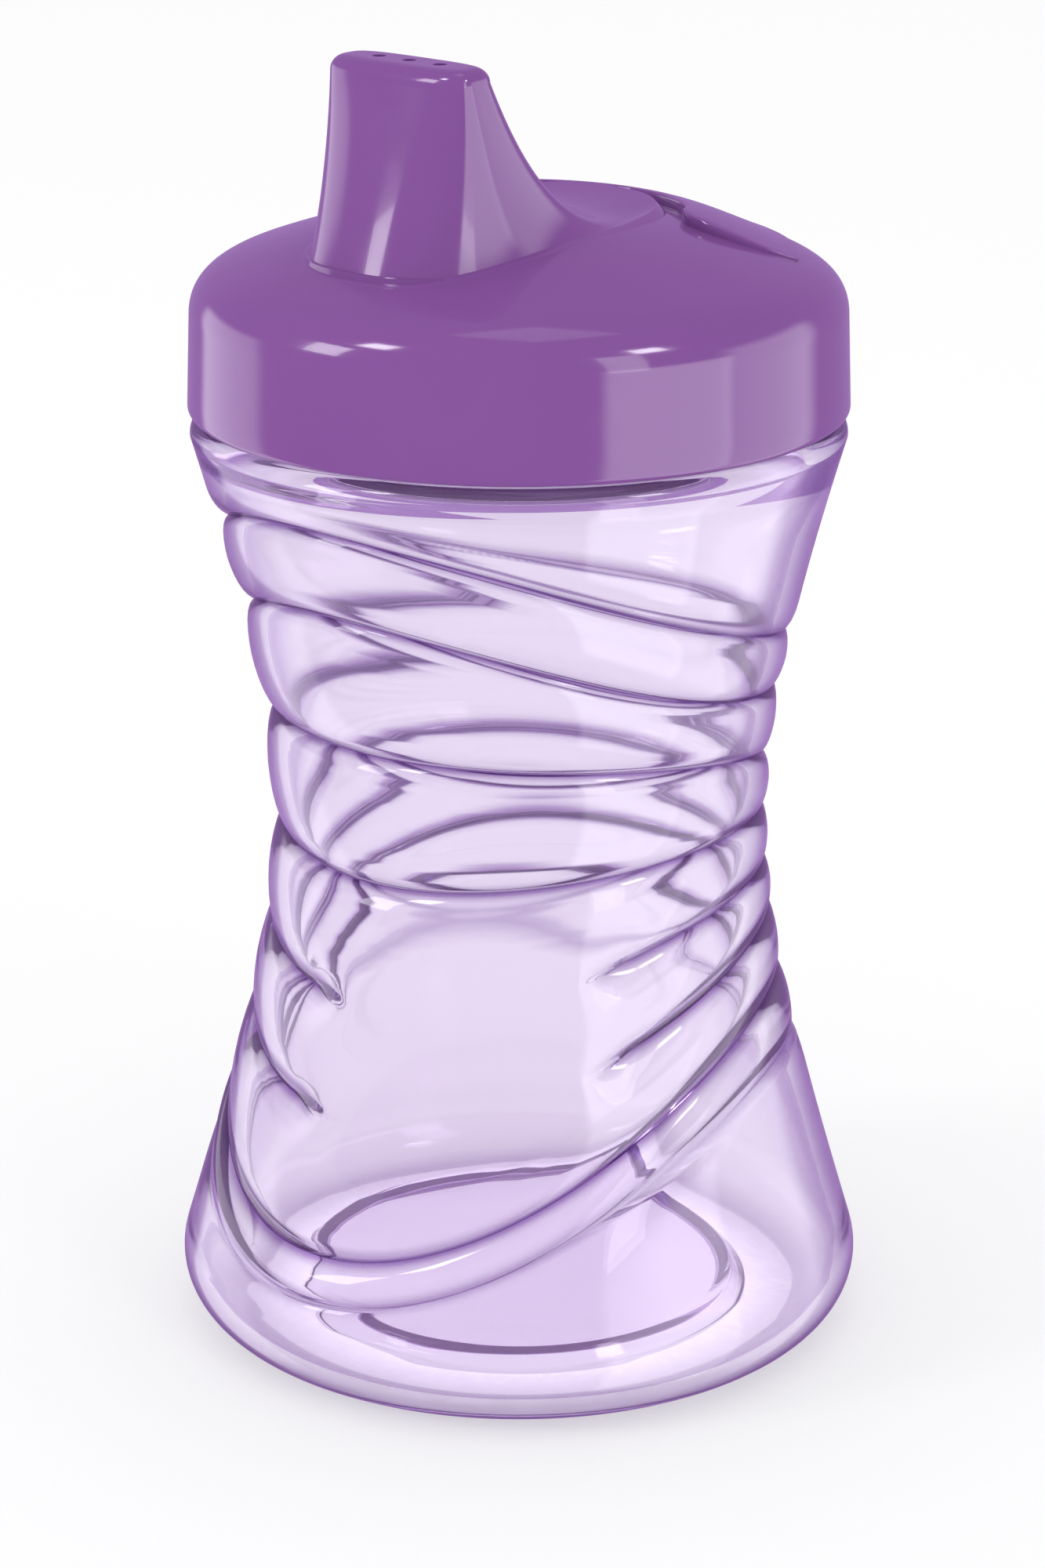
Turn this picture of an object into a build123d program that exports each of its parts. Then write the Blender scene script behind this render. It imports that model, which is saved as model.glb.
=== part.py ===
"""Toddler's drinking cup: hourglass body, screw lid with a hard spout, seal ring and valve.

Millimetres, +Z up, origin at the centre of the foot, spout towards -Y, air vent towards +Y.
"""
import os
from math import atan2, cos, degrees, pi, radians, sin, sqrt

from build123d import *

# ---- cup body: overall sizes -------------------------------------------------------------
base_radius = 40.2          # widest radius, just above the heel
heel_fillet = 7.0           # round between the foot and the lower cone
waist_radius = 28.9         # radius of the waist over the bulges
shoulder_radius = 37.1      # widest radius of the upper cone, right below the lid
shoulder_height = 108.8
shoulder_round = 2.0
drawn_shoulder_height = 108.8   # shoulder height that the waist and the grooves are drawn for
stretch = shoulder_height / drawn_shoulder_height
waist_height = 62.0 * stretch
heel_slope = 0.31           # how far the heel's end leans inwards for each millimetre up
lower_flare = 0.34          # slope that the lower cone tends to
upper_flare = 0.36          # slope that the upper cone tends to
cup_wall = 2.2
standing_ring = 6.7         # width of the flat ring that the cup stands on
push_up_radius = base_radius - heel_fillet - standing_ring
push_up_height = 2.2

# ---- cup body: grip grooves, as (height at the spout side, at the flanks, at the vent side)
groove_heights = [
    (12.2, 32.5, 32.4),
    (17.0, 38.1, 41.6),
    (32.2, 46.1, 50.8),
    (45.3, 54.3, 55.3),
    (59.5, 62.6, 61.7),
    (74.9, 72.5, 66.1),
    (91.1, 80.2, 77.3),
    (101.5, 88.4, 82.5),
]
groove_strength = [0.55, 1.0, 1.0, 1.0, 1.0, 1.0, 1.0, 1.0]
fading_grooves = (2, 3)     # the grooves that stop at the plain panel
panel_azimuth = 28.0        # degrees from the spout towards +X
panel_half_width = 34.0     # degrees
panel_ramp = 14.0           # degrees over which a groove fades out
groove_depth_share = 0.15   # depth of a groove as a share of the spacing about it
groove_reach = 6.0          # furthest that a groove bends the plain wall beside it
groove_softness = 0.3       # half width of the soft bottom of a groove

# ---- neck and screw thread ---------------------------------------------------------------
shoulder_step = 4.3         # how far the neck stands back from the shoulder
neck_radius = shoulder_radius - shoulder_step
neck_wall = 2.2
neck_height = 12.7
rim_height = shoulder_height + neck_height
thread_lead = 7.0           # rise of one full turn
thread_starts = 2
thread_rise = 1.6           # height of a ridge over the wall that it stands on
thread_root = 1.5           # width of a ridge at its foot
thread_crest = 0.8          # width of a ridge at its crest
thread_azimuth = 20.0       # degrees from +X at which the first ridges start
thread_sink = 0.3           # how deep a ridge is rooted in its wall
thread_lift = 2.8           # from the shoulder to the lower end of the cup's ridges
thread_clearance = 0.6      # between the cup's ridges and the lid's bore
cup_thread_sweep = 240.0    # degrees
lid_thread_sweep = 170.0    # degrees

# ---- lid ---------------------------------------------------------------------------------
lid_wall = 2.3
lid_bore = neck_radius + thread_rise + thread_clearance
lid_radius = lid_bore + lid_wall
lid_gap = 0.5               # between the cup's shoulder and the tightened lid
lid_bottom = shoulder_height + lid_gap
lid_edge_round = 0.8
skirt_drop = 1.0            # from the cup's rim down to where the skirt starts to round in
skirt_top = rim_height - skirt_drop
skirt_draft = 0.4           # how much the skirt narrows on its way up
crown_radius = 91.0         # large radius of the dome
crown_edge_inset = 5.9      # from the skirt in to where the dome begins
crown_edge_radius = lid_radius - crown_edge_inset
crown_edge_rise = 6.1       # from the top of the skirt up to where the dome begins
crown_edge_height = skirt_top + crown_edge_rise
drawn_crown_edge_radius = 31.4  # dome radius that the places on the lid are drawn for
lid_stretch = crown_edge_radius / drawn_crown_edge_radius
seal_land_clearance = 0.1
seal_thickness = 1.6
seal_lip = 2.4
seal_lip_wall = 0.8
seal_wall_clearance = 0.3

# ---- spout and the leaf-shaped collar about it -------------------------------------------
collar_half_width = 14.8 * lid_stretch
collar_half_length = 22.5 * lid_stretch
collar_centre = -5.5 * lid_stretch
collar_squareness = 2.6
collar_rim_height = 1.2     # how far the rim of the dish stands over the dome
collar_rim_width = 1.0
collar_base_drop = 1.2      # from the dome's edge down to the flat underside of the collar
collar_base_height = crown_edge_height - collar_base_drop
collar_sink = 0.8           # depth at which the collar's foot starts inside the dome
collar_overlap = 0.6        # how far the collar reaches into the edge of the dome
dish_depth = 1.9            # how far the dish lies under the rim
dish_start = 12.0           # how far behind the spout's tip the slope meets the dish
slope_front = ((0.33, 0.36), (0.62, 0.72))  # bends of the slope before the spout: run, fall
slope_rear_start = (0.23, 0.66)             # the first bend behind the spout
slope_rear_fall = 1.06                      # how far the slope falls at the dish
dish_span = (0.4, 0.8)      # stretch of the slope in which the dish is deepest
spout_rise = 23.6           # from the dome's edge up to the spout's tip
spout_top = crown_edge_height + spout_rise
spout_half_width = 10.2
spout_half_depth = 3.8
spout_centre = -17.5 * lid_stretch
spout_squareness = 3.4
spout_edge_round = 1.7
spout_wall = 2.0
drink_hole_diameter = 1.5
drink_hole_pitch = 4.45
drink_hole_count = 3

# ---- valve sockets under the lid, valve and vent -----------------------------------------
dish_floor_wall = 2.2
spout_floor = collar_base_height + dish_floor_wall
spout_hollow_back = -11.0 * lid_stretch     # rear wall of the hollow at its floor
spout_hollow_margin = 2.5   # plastic left beside the hollow at its floor
dish_pocket_margin = 3.3
dish_pocket_centre = 3.0 * lid_stretch
dish_pocket_half_length = 7.6 * lid_stretch
socket_bore = 11.0
socket_wall = 1.6
socket_drop = 4.0           # how far the sockets hang below the cup's rim
socket_bottom = rim_height - socket_drop
vent_socket_centre = 18.5 * lid_stretch
valve_clearance = 0.05
valve_wall = 1.3
valve_floor = 1.2
valve_grip = 6.5            # how far a valve cup goes up its socket
valve_strap_width = 6.0
valve_slit_length = 6.0
valve_slit_width = 0.35
valve_strap_thickness = 1.5
vent_pad_height = 1.0
vent_pad_radius = crown_edge_radius - 0.1
vent_pad_gap = 2.0          # between the collar and the vent pad
vent_pad_corner = (26.3 * lid_stretch, 17.0 * lid_stretch)
vent_pad_inner_corner = (13.5 * lid_stretch, 10.5 * lid_stretch)
vent_hole_diameter = 1.2
vent_hole_count = 5
vent_hole_pitch = 2.0
vent_hole_offset = 2.0      # how far the row of holes lies behind the socket's middle
vent_roof_relief = 0.5      # how far the socket's bore goes into the roof over it

columns = 48                # points round each lofted ring
overshoot = 1.0             # how far a cutting form runs past the plastic


def smooth_step(value):
    """0 below 0, 1 above 1 and a smooth S between."""
    t = min(1.0, max(0.0, value))
    return t * t * (3.0 - 2.0 * t)


def between(low, high, share):
    """The value a share of the way from low to high."""
    return low + (high - low) * share


def polar(radius, azimuth, height):
    """A point at an azimuth measured from the spout side towards +X, in radians."""
    return (radius * sin(azimuth), -radius * cos(azimuth), height)


def closed_ring(points):
    """A smooth closed wire through evenly numbered points."""
    count = len(points)
    parameters = [index / count for index in range(count + 1)]
    return Wire([Edge.make_spline(points, periodic=True, parameters=parameters)])


# ---- hourglass -----------------------------------------------------------------------------
heel_angle = atan2(heel_slope, 1.0)
cone_bottom = heel_fillet * (1.0 + sin(heel_angle))
cone_bottom_radius = base_radius - heel_fillet * (1.0 - cos(heel_angle))
cone_top = shoulder_height - shoulder_round


def flare(height, end_height, end_radius, slope):
    """Radius of one half of the hourglass: a hyperbola from the waist to its end radius."""
    distance = abs(end_height - waist_height)
    gain = (end_radius - waist_radius) / slope
    softness = (distance ** 2 - gain ** 2) / (2.0 * gain)
    return waist_radius + slope * (sqrt((height - waist_height) ** 2 + softness ** 2) - softness)


def hourglass_radius(height):
    """Radius over the bulges at a height."""
    if height < waist_height:
        return flare(height, cone_bottom, cone_bottom_radius, lower_flare)
    return flare(height, cone_top, shoulder_radius, upper_flare)


def groove_height(number, azimuth):
    """Height of a groove at an azimuth."""
    spout_side, flank, vent_side = groove_heights[number]
    mean = (spout_side + vent_side + 2.0 * flank) / 4.0
    tilt = (spout_side - vent_side) / 2.0
    bend = (spout_side + vent_side - 2.0 * flank) / 4.0
    return stretch * (mean + tilt * cos(azimuth) + bend * cos(2.0 * azimuth))


def groove_presence(number, azimuth):
    """1 where a groove has its full depth, 0 in the plain panel."""
    strength = groove_strength[number]
    if number not in fading_grooves:
        return strength
    away = abs((degrees(azimuth) - panel_azimuth + 180.0) % 360.0 - 180.0)
    return strength * smooth_step((away - panel_half_width) / panel_ramp + 0.5)


def cove(distance, reach):
    """Share of a groove's depth at a distance from its line, 1 on the line."""
    softened = sqrt(distance ** 2 + groove_softness ** 2) - groove_softness
    t = min(1.0, softened / reach)
    return 1.0 - sqrt(1.0 - (1.0 - t) ** 2)


def body_radius(azimuth, height):
    """Outer radius of the grooved body."""
    lines = [groove_height(number, azimuth) for number in range(len(groove_heights))]
    deepest = 0.0
    for number, line in enumerate(lines):
        below = line - lines[number - 1] if number > 0 else 2.0 * (line - cone_bottom)
        last = number == len(lines) - 1
        above = 2.0 * (cone_top - line) if last else lines[number + 1] - line
        below = min(below, 2.0 * groove_reach) if number == 0 else below
        above = min(above, groove_reach) if last else above
        spacing = below if last else above if number == 0 else (above + below) / 2.0
        reach = below / 2.0 if height < line else above / 2.0
        depth = groove_depth_share * spacing * groove_presence(number, azimuth)
        deepest = max(deepest, depth * cove(abs(height - line), reach))
    return hourglass_radius(height) - deepest


def body_rows():
    """Rows of the lofted body: each is a pair of neighbouring lines and a share between them."""
    last = len(groove_heights)
    rows = [(-1, share) for share in (0.0, 0.4, 0.8)]
    for number in range(last - 1):
        rows += [(number, share) for share in (0.0, 0.1, 0.28, 0.5, 0.72, 0.9)]
    rows += [(last - 1, share) for share in (0.0, 0.12, 0.35, 0.65, 1.0)]
    return rows


def row_height(row, azimuth):
    """Height of a body row at an azimuth."""
    number, share = row
    low = cone_bottom if number < 0 else groove_height(number, azimuth)
    top = number == len(groove_heights) - 1
    high = cone_top if top else groove_height(number + 1, azimuth)
    return between(low, high, share)


def row_ring(row, inset):
    """One closed ring of the grooved wall, drawn in by an inset."""
    points = []
    for column in range(columns):
        azimuth = 2.0 * pi * column / columns
        height = row_height(row, azimuth)
        points.append(polar(body_radius(azimuth, height) - inset, azimuth, height))
    return closed_ring(points)


def round_ring(radius, height):
    """A round closed ring with the same numbering as the grooved ones."""
    return closed_ring([polar(radius, 2.0 * pi * column / columns, height)
                        for column in range(columns)])


def arc_rings(centre, radius, start, end, steps):
    """Round rings along an arc drawn as (radius, height), from one angle to another."""
    rings = []
    for step in range(steps + 1):
        angle = start + (end - start) * step / steps
        rings.append(round_ring(*arc_point(centre, radius, angle)))
    return rings


def turned(outline):
    """A solid of revolution from a closed list of edges drawn as (radius, height)."""
    section = Plane.XZ * make_face(outline)
    return revolve(section, axis=Axis.Z)


def arc_point(centre, radius, angle):
    """A point of a circle in a drawn section."""
    return (centre[0] + radius * cos(angle), centre[1] + radius * sin(angle))


def quarter(centre, radius, start, end):
    """An arc about a centre from one angle to another."""
    middle = (start + end) / 2.0
    return ThreePointArc(*[arc_point(centre, radius, angle) for angle in (start, middle, end)])


# ---- cup body ------------------------------------------------------------------------------
neck_bore = neck_radius - neck_wall
heel_centre = (base_radius - heel_fillet, heel_fillet)
shoulder_centre = (shoulder_radius - shoulder_round, cone_top)
floor_top = push_up_height + cup_wall
cup_thread_start = shoulder_height + thread_lift


def cup_outside():
    """Outer form of the cup from foot to rim, solid."""
    rings = arc_rings(heel_centre, heel_fillet, -pi / 2.0, heel_angle, 6)[:-1]
    rings += [row_ring(row, 0.0) for row in body_rows()]
    rings += arc_rings(shoulder_centre, shoulder_round, 0.0, pi / 2.0, 4)[1:]
    neck = upright(neck_radius, 0.0, 0.0, shoulder_height - cup_wall / 4.0, rim_height)
    neck = chamfer(neck.edges().group_by(Axis.Z)[-1], neck_wall / 4.0)
    return Solid.make_loft(rings, ruled=True) + neck


def cup_inside():
    """The hollow of the cup from its floor to above the rim."""
    rings = arc_rings(heel_centre, heel_fillet - cup_wall, -pi / 2.0, heel_angle, 6)
    rings += [row_ring(row, cup_wall) for row in body_rows()]
    bore = upright(neck_bore, 0.0, 0.0, cone_top - cup_wall, rim_height + overshoot)
    return Solid.make_loft(rings, ruled=True) + bore


def upright(radius, x, y, bottom, top):
    """An upright cylinder between two heights."""
    return Pos(x, y, bottom) * Cylinder(radius, top - bottom,
                                        align=(Align.CENTER, Align.CENTER, Align.MIN))


def tapered_disc(wide, bottom, top):
    """A disc that narrows by its own height from a wide underside."""
    height = top - bottom
    return Pos(0.0, 0.0, bottom) * Cone(wide, wide - height, height,
                                        align=(Align.CENTER, Align.CENTER, Align.MIN))


def thread_ridge(radius, outward, start_height, start_angle, sweep_angle):
    """One helical ridge on a wall of the given radius, standing outwards or inwards."""
    rise = thread_lead * sweep_angle / 360.0
    path = Edge.make_helix(thread_lead, rise, radius)
    side = 1.0 if outward else -1.0
    section = Plane(origin=path @ 0, x_dir=(side, 0.0, 0.0), z_dir=path % 0)
    outline = Polyline((-thread_sink, -thread_root / 2.0), (0.0, -thread_root / 2.0),
                       (thread_rise, -thread_crest / 2.0), (thread_rise, thread_crest / 2.0),
                       (0.0, thread_root / 2.0), (-thread_sink, thread_root / 2.0), close=True)
    ridge = sweep(section * make_face(outline), path=path, is_frenet=True)
    return Pos(0.0, 0.0, start_height) * Rot(0.0, 0.0, start_angle) * ridge


def thread_set(radius, outward, start_height, start_angle, sweep_angle):
    """All the ridges of a many-start thread."""
    ridges = []
    for start in range(thread_starts):
        turn = start_angle + 360.0 * start / thread_starts
        ridges.append(thread_ridge(radius, outward, start_height, turn, sweep_angle))
    return ridges


def cup_body():
    """The hourglass cup with its grooves, raised floor, neck and outer thread."""
    solid = cup_outside() - cup_inside()
    solid = solid + tapered_disc(push_up_radius, cup_wall, floor_top)
    solid = solid - tapered_disc(push_up_radius, 0.0, push_up_height)
    for ridge in thread_set(neck_radius, True, cup_thread_start, thread_azimuth, cup_thread_sweep):
        solid = solid + ridge
    return solid


# ---- lid -----------------------------------------------------------------------------------
crown_top = crown_edge_height + crown_radius - sqrt(crown_radius ** 2 - crown_edge_radius ** 2)
land_height = rim_height + seal_thickness + 2.0 * seal_land_clearance


def dome_height(radius, offset=0.0):
    """Height of the dome at a distance from the axis, for a copy raised by an offset."""
    sphere = crown_radius + offset
    return crown_top - crown_radius + sqrt(sphere ** 2 - radius ** 2)


def dome_edge(offset):
    """Where the dome meets its shoulder, for a copy raised by an offset."""
    share = (crown_radius + offset) / crown_radius
    return (crown_edge_radius * share, dome_height(crown_edge_radius * share, offset))


def dome_solid():
    """Outer form of the lid without its spout, solid."""
    edge = dome_edge(0.0)
    slope = edge[0] / sqrt(crown_radius ** 2 - edge[0] ** 2)
    skirt_end = (lid_radius - skirt_draft, skirt_top)
    rim = quarter((lid_radius - lid_edge_round, lid_bottom + lid_edge_round), lid_edge_round,
                  -pi / 2.0, 0.0)
    skirt = Line(rim @ 1, skirt_end)
    shoulder = Spline(skirt_end, edge, tangents=[skirt % 1, (-1.0, slope)])
    crown = ThreePointArc(edge, (edge[0] / 2.0, dome_height(edge[0] / 2.0)), (0.0, crown_top))
    close = Polyline(crown @ 1, (0.0, lid_bottom), rim @ 0)
    return turned(rim + skirt + shoulder + crown + close)


def lid_hollow():
    """Inside of the lid: bore over the neck, land for the seal, and the underside of the dome."""
    crown = ThreePointArc((neck_bore, dome_height(neck_bore, -lid_wall)),
                          (neck_bore / 2.0, dome_height(neck_bore / 2.0, -lid_wall)),
                          (0.0, crown_top - lid_wall))
    sides = Polyline(crown @ 1, (0.0, lid_bottom - overshoot), (lid_bore, lid_bottom - overshoot),
                     (lid_bore, land_height), (neck_bore, land_height), crown @ 0)
    return turned(crown + sides)


def squared_oval(half_width, half_depth, centre, squareness, azimuth):
    """A point of a superellipse, with azimuth 0 towards the spout side."""
    across = sin(azimuth)
    along = -cos(azimuth)
    scale = (abs(across) ** squareness + abs(along) ** squareness) ** (-1.0 / squareness)
    return (half_width * across * scale, centre + half_depth * along * scale)


def oval_ring(half_width, half_depth, centre, squareness, height):
    """A flat closed wire round a superellipse."""
    points = []
    for column in range(columns):
        x, y = squared_oval(half_width, half_depth, centre, squareness, 2.0 * pi * column / columns)
        points.append((x, y, height))
    return closed_ring(points)


def collar_foot(azimuth, inset):
    """A point of the collar's outline, drawn in by an inset."""
    return squared_oval(collar_half_width - inset, collar_half_length - inset, collar_centre,
                        collar_squareness, azimuth)


def spout_edge(azimuth, inset):
    """A point of the outline of the spout's tip, drawn in by an inset."""
    return squared_oval(spout_half_width - inset, spout_half_depth - inset, spout_centre,
                        spout_squareness, azimuth)


def rearward(azimuth):
    """0 round the spout's front, 1 behind it where the dish lies."""
    return smooth_step((1.0 - cos(azimuth)) / 2.0)


def sweep_point(azimuth, share):
    """A point on the slope from the spout's tip, share 0, to the rim of the collar, share 1."""
    tip = spout_edge(azimuth, 0.0)
    rim = collar_foot(azimuth, collar_rim_width)
    run = sqrt((rim[0] - tip[0]) ** 2 + (rim[1] - tip[1]) ** 2)
    rear = rearward(azimuth)
    tip_height = spout_top - spout_edge_round
    rim_height_here = dome_height(sqrt(rim[0] ** 2 + rim[1] ** 2)) + collar_rim_height
    low = rim_height_here - rear * dish_depth
    dish_run = min(dish_start / run, slope_front[1][0])
    first, second = [(between(ahead[0], behind[0], rear),
                      between(tip_height, low, between(ahead[1], behind[1], rear)))
                     for ahead, behind in zip(slope_front, (slope_rear_start, (dish_run, slope_rear_fall)))]
    marks = [(0.0, tip_height), first, second, (1.0, rim_height_here)]
    weights = [(1.0 - share) ** 3, 3.0 * share * (1.0 - share) ** 2,
               3.0 * share ** 2 * (1.0 - share), share ** 3]
    along = sum(weight * mark[0] for weight, mark in zip(weights, marks))
    height = sum(weight * mark[1] for weight, mark in zip(weights, marks))
    return (between(tip[0], rim[0], along), between(tip[1], rim[1], along), height)


def spout_and_collar():
    """The spout and the dished collar that it grows from, solid."""
    azimuths = [2.0 * pi * column / columns for column in range(columns)]
    rings = [oval_ring(collar_half_width, collar_half_length, collar_centre, collar_squareness,
                       collar_base_height)]
    foot = [collar_foot(azimuth, 0.0) for azimuth in azimuths]
    rings.append(closed_ring([(x, y, dome_height(sqrt(x * x + y * y)) - collar_sink)
                              for x, y in foot]))
    steps = 14
    for step in range(steps, -1, -1):
        rings.append(closed_ring([sweep_point(azimuth, step / steps) for azimuth in azimuths]))
    for angle in (30.0, 60.0, 90.0):
        inset = spout_edge_round * (1.0 - cos(radians(angle)))
        height = spout_top - spout_edge_round * (1.0 - sin(radians(angle)))
        rings.append(closed_ring([(*spout_edge(azimuth, inset), height) for azimuth in azimuths]))
    return Solid.make_loft(rings, ruled=True)


def collar_prism(inset, bottom, top):
    """An upright block of the collar's outline, drawn in by an inset."""
    ends = [oval_ring(collar_half_width - inset, collar_half_length - inset, collar_centre,
                      collar_squareness, height) for height in (bottom, top)]
    return Solid.make_loft(ends, ruled=True)


def spout_hollow():
    """The drink channel inside the spout, over its floor."""
    front = collar_centre - collar_half_length + spout_hollow_margin
    centre = (front + spout_hollow_back) / 2.0
    depth = (spout_hollow_back - front) / 2.0
    roof = spout_top - spout_wall
    ends = [oval_ring(collar_half_width - spout_hollow_margin, depth, centre, collar_squareness,
                      spout_floor),
            oval_ring(spout_half_width - spout_wall, spout_half_depth - spout_wall, spout_centre,
                      spout_squareness, roof)]
    return Solid.make_loft(ends, ruled=True)


def dish_pocket():
    """The recess under the dish that keeps the plastic even."""
    lowest = spout_top
    steps = 8
    for step in range(steps + 1):
        lowest = min(lowest, sweep_point(pi, between(*dish_span, step / steps))[2])
    half_width = collar_half_width - dish_pocket_margin
    ends = [oval_ring(half_width, dish_pocket_half_length, dish_pocket_centre, collar_squareness,
                      height) for height in (collar_base_height - overshoot, lowest - dish_floor_wall)]
    return Solid.make_loft(ends, ruled=True)


def vent_pad():
    """The raised crescent behind the collar that the air holes open through."""
    (x, y), (inner_x, inner_y) = vent_pad_corner, vent_pad_inner_corner
    outline = ThreePointArc((x, y), (0.0, vent_pad_radius), (-x, y))
    outline += Polyline((-x, y), (-inner_x, inner_y), (inner_x, inner_y), (x, y))
    prism = Pos(0.0, 0.0, land_height) * extrude(make_face(outline), amount=spout_top - land_height)
    edge = dome_edge(vent_pad_height)
    crown = ThreePointArc(edge, (edge[0] / 2.0, dome_height(edge[0] / 2.0, vent_pad_height)),
                          (0.0, crown_top + vent_pad_height))
    low = land_height + vent_pad_height
    sides = Polyline(crown @ 1, (0.0, low), (edge[0], low), crown @ 0)
    raised = turned(crown + sides)
    return (prism & raised) - collar_prism(-vent_pad_gap, lid_bottom, spout_top)


def lid_shell():
    """The one-piece lid: skirt, dome, spout, collar, vent pad, sockets and inner thread."""
    solid = dome_solid() + vent_pad()
    solid = solid - lid_hollow()
    solid = solid - collar_prism(collar_overlap, lid_bottom, spout_top)
    solid = solid + spout_and_collar()
    socket_radius = socket_bore / 2.0 + socket_wall
    root = dome_height(abs(spout_centre) + socket_radius) - lid_wall / 3.0
    for centre in (spout_centre, vent_socket_centre):
        solid = solid + upright(socket_radius, 0.0, centre, socket_bottom, root)
    solid = solid - dish_pocket() - spout_hollow()
    solid = solid - upright(socket_bore / 2.0, 0.0, spout_centre, socket_bottom, spout_floor + overshoot)
    vent_roof = dome_height(vent_socket_centre + socket_bore / 2.0) - lid_wall
    solid = solid - upright(socket_bore / 2.0, 0.0, vent_socket_centre, socket_bottom,
                            vent_roof + vent_roof_relief)
    for number in range(drink_hole_count):
        x = (number - (drink_hole_count - 1) / 2.0) * drink_hole_pitch
        solid = solid - upright(drink_hole_diameter / 2.0, x, spout_centre,
                                spout_top - 2.0 * spout_wall, spout_top + overshoot)
    for number in range(vent_hole_count):
        x = (number - (vent_hole_count - 1) / 2.0) * vent_hole_pitch
        solid = solid - upright(vent_hole_diameter / 2.0, x, vent_socket_centre + vent_hole_offset,
                                vent_roof - overshoot, crown_top)
    lid_thread_start = cup_thread_start + thread_lead / thread_starts / 2.0
    for ridge in thread_set(lid_bore, False, lid_thread_start, thread_azimuth, lid_thread_sweep):
        solid = solid + ridge
    return solid


# ---- seal ring -----------------------------------------------------------------------------
def lid_seal():
    """The soft ring between the rim of the cup and the lid, with a lip inside the neck."""
    bottom = rim_height + seal_land_clearance
    top = bottom + seal_thickness
    lip_outer = neck_bore - seal_land_clearance
    lip_inner = lip_outer - seal_lip_wall
    outer = lid_bore - seal_wall_clearance
    outline = Polyline((lip_inner, bottom - seal_lip), (lip_outer, bottom - seal_lip),
                       (lip_outer, bottom), (outer, bottom), (outer, top), (lip_inner, top),
                       close=True)
    return turned(outline)


# ---- valve ---------------------------------------------------------------------------------
def valve():
    """The one-piece soft valve: two slit cups on the lid's sockets, joined by a strap."""
    inner = socket_bore / 2.0 + socket_wall + valve_clearance
    outer = inner + valve_wall
    seat = socket_bottom - 2.0 * valve_clearance
    bottom = seat - valve_floor
    top = socket_bottom + valve_grip
    length = vent_socket_centre - spout_centre
    solid = Pos(0.0, spout_centre, bottom) * Box(valve_strap_width, length, valve_strap_thickness,
                                                 align=(Align.CENTER, Align.MIN, Align.MIN))
    for centre in (spout_centre, vent_socket_centre):
        solid = solid + upright(outer, 0.0, centre, bottom, top)
    for centre in (spout_centre, vent_socket_centre):
        solid = solid - upright(inner, 0.0, centre, seat, top)
        turns = (0.0, 90.0) if centre == spout_centre else (0.0,)
        for turn in turns:
            slit = Box(valve_slit_length, valve_slit_width, 4.0 * valve_floor)
            solid = solid - Pos(0.0, centre, bottom) * Rot(0.0, 0.0, turn) * slit
    return solid


os.makedirs("parts", exist_ok=True)
for name, build in (("cup_body", cup_body), ("lid_shell", lid_shell), ("lid_seal", lid_seal),
                    ("valve", valve)):
    export_step(build(), "parts/" + name + ".step")
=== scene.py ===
"""A toddler's drinking cup: a clear hourglass body, a screw lid with a spout, a seal and a valve.

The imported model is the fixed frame. Each part here is rebuilt as a fine, smooth mesh inside its
frame node's box, and rides on that node's body. Sizes are in millimetres and turn into metres
when a mesh is placed.
"""

from __future__ import annotations

import logging
import math
from dataclasses import dataclass
from enum import Enum
from typing import Callable, Iterable, Protocol, Sequence

import bpy
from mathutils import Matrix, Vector

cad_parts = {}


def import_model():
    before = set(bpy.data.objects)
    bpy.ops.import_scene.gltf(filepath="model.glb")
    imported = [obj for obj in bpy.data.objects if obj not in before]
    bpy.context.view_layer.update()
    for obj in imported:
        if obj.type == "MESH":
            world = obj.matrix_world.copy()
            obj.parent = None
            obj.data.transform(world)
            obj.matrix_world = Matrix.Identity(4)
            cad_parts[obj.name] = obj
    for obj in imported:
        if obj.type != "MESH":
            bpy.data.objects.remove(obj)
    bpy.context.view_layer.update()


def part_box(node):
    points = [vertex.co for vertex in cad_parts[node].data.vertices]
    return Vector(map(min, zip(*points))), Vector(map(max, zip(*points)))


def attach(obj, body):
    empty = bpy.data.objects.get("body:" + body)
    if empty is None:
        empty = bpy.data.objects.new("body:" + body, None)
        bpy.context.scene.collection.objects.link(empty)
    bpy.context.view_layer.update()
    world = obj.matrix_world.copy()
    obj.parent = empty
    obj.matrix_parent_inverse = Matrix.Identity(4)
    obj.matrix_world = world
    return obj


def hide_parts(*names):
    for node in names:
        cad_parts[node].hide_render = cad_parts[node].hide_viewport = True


LOG = logging.getLogger("cup")
MM = 0.001
RING_PITCH = 0.0005
SLEEVE_RADIUS = 0.03
WELD_DISTANCE = 0.000002
# Mesh attributes that mask painted shade: one along the grooves' lines, one on the side wall where
# its edges take painted shade.
GROOVE_SHADE_MARK = "groove"
WALL_SHADE_MARK = "wall"
PATTERN_LOW, PATTERN_HIGH = 0.3, 0.7

Point = tuple[float, float, float]
Outline = list[tuple[float, float]]
Colour = tuple[float, float, float]
Tree = bpy.types.NodeTree
Socket = bpy.types.NodeSocket


class Node(str, Enum):
    """Nodes of the frame that the pieces stand for."""

    CUP = "cup_body"
    LID = "lid_shell"
    SEAL = "lid_seal"
    VALVE = "valve"


class Group(str, Enum):
    """Moving bodies of the frame."""

    CUP = "cup"
    LID = "lid"
    SEAL = "seal"
    VALVE = "valve"


class Join(str, Enum):
    """Ways to combine two closed meshes."""

    ADD = "UNION"
    CUT = "DIFFERENCE"


# ---- small curves ----------------------------------------


def smooth_step(value: float) -> float:
    """Returns 0 below 0, 1 above 1 and a smooth S between."""
    t = min(1.0, max(0.0, value))
    return t * t * (3.0 - 2.0 * t)


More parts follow.
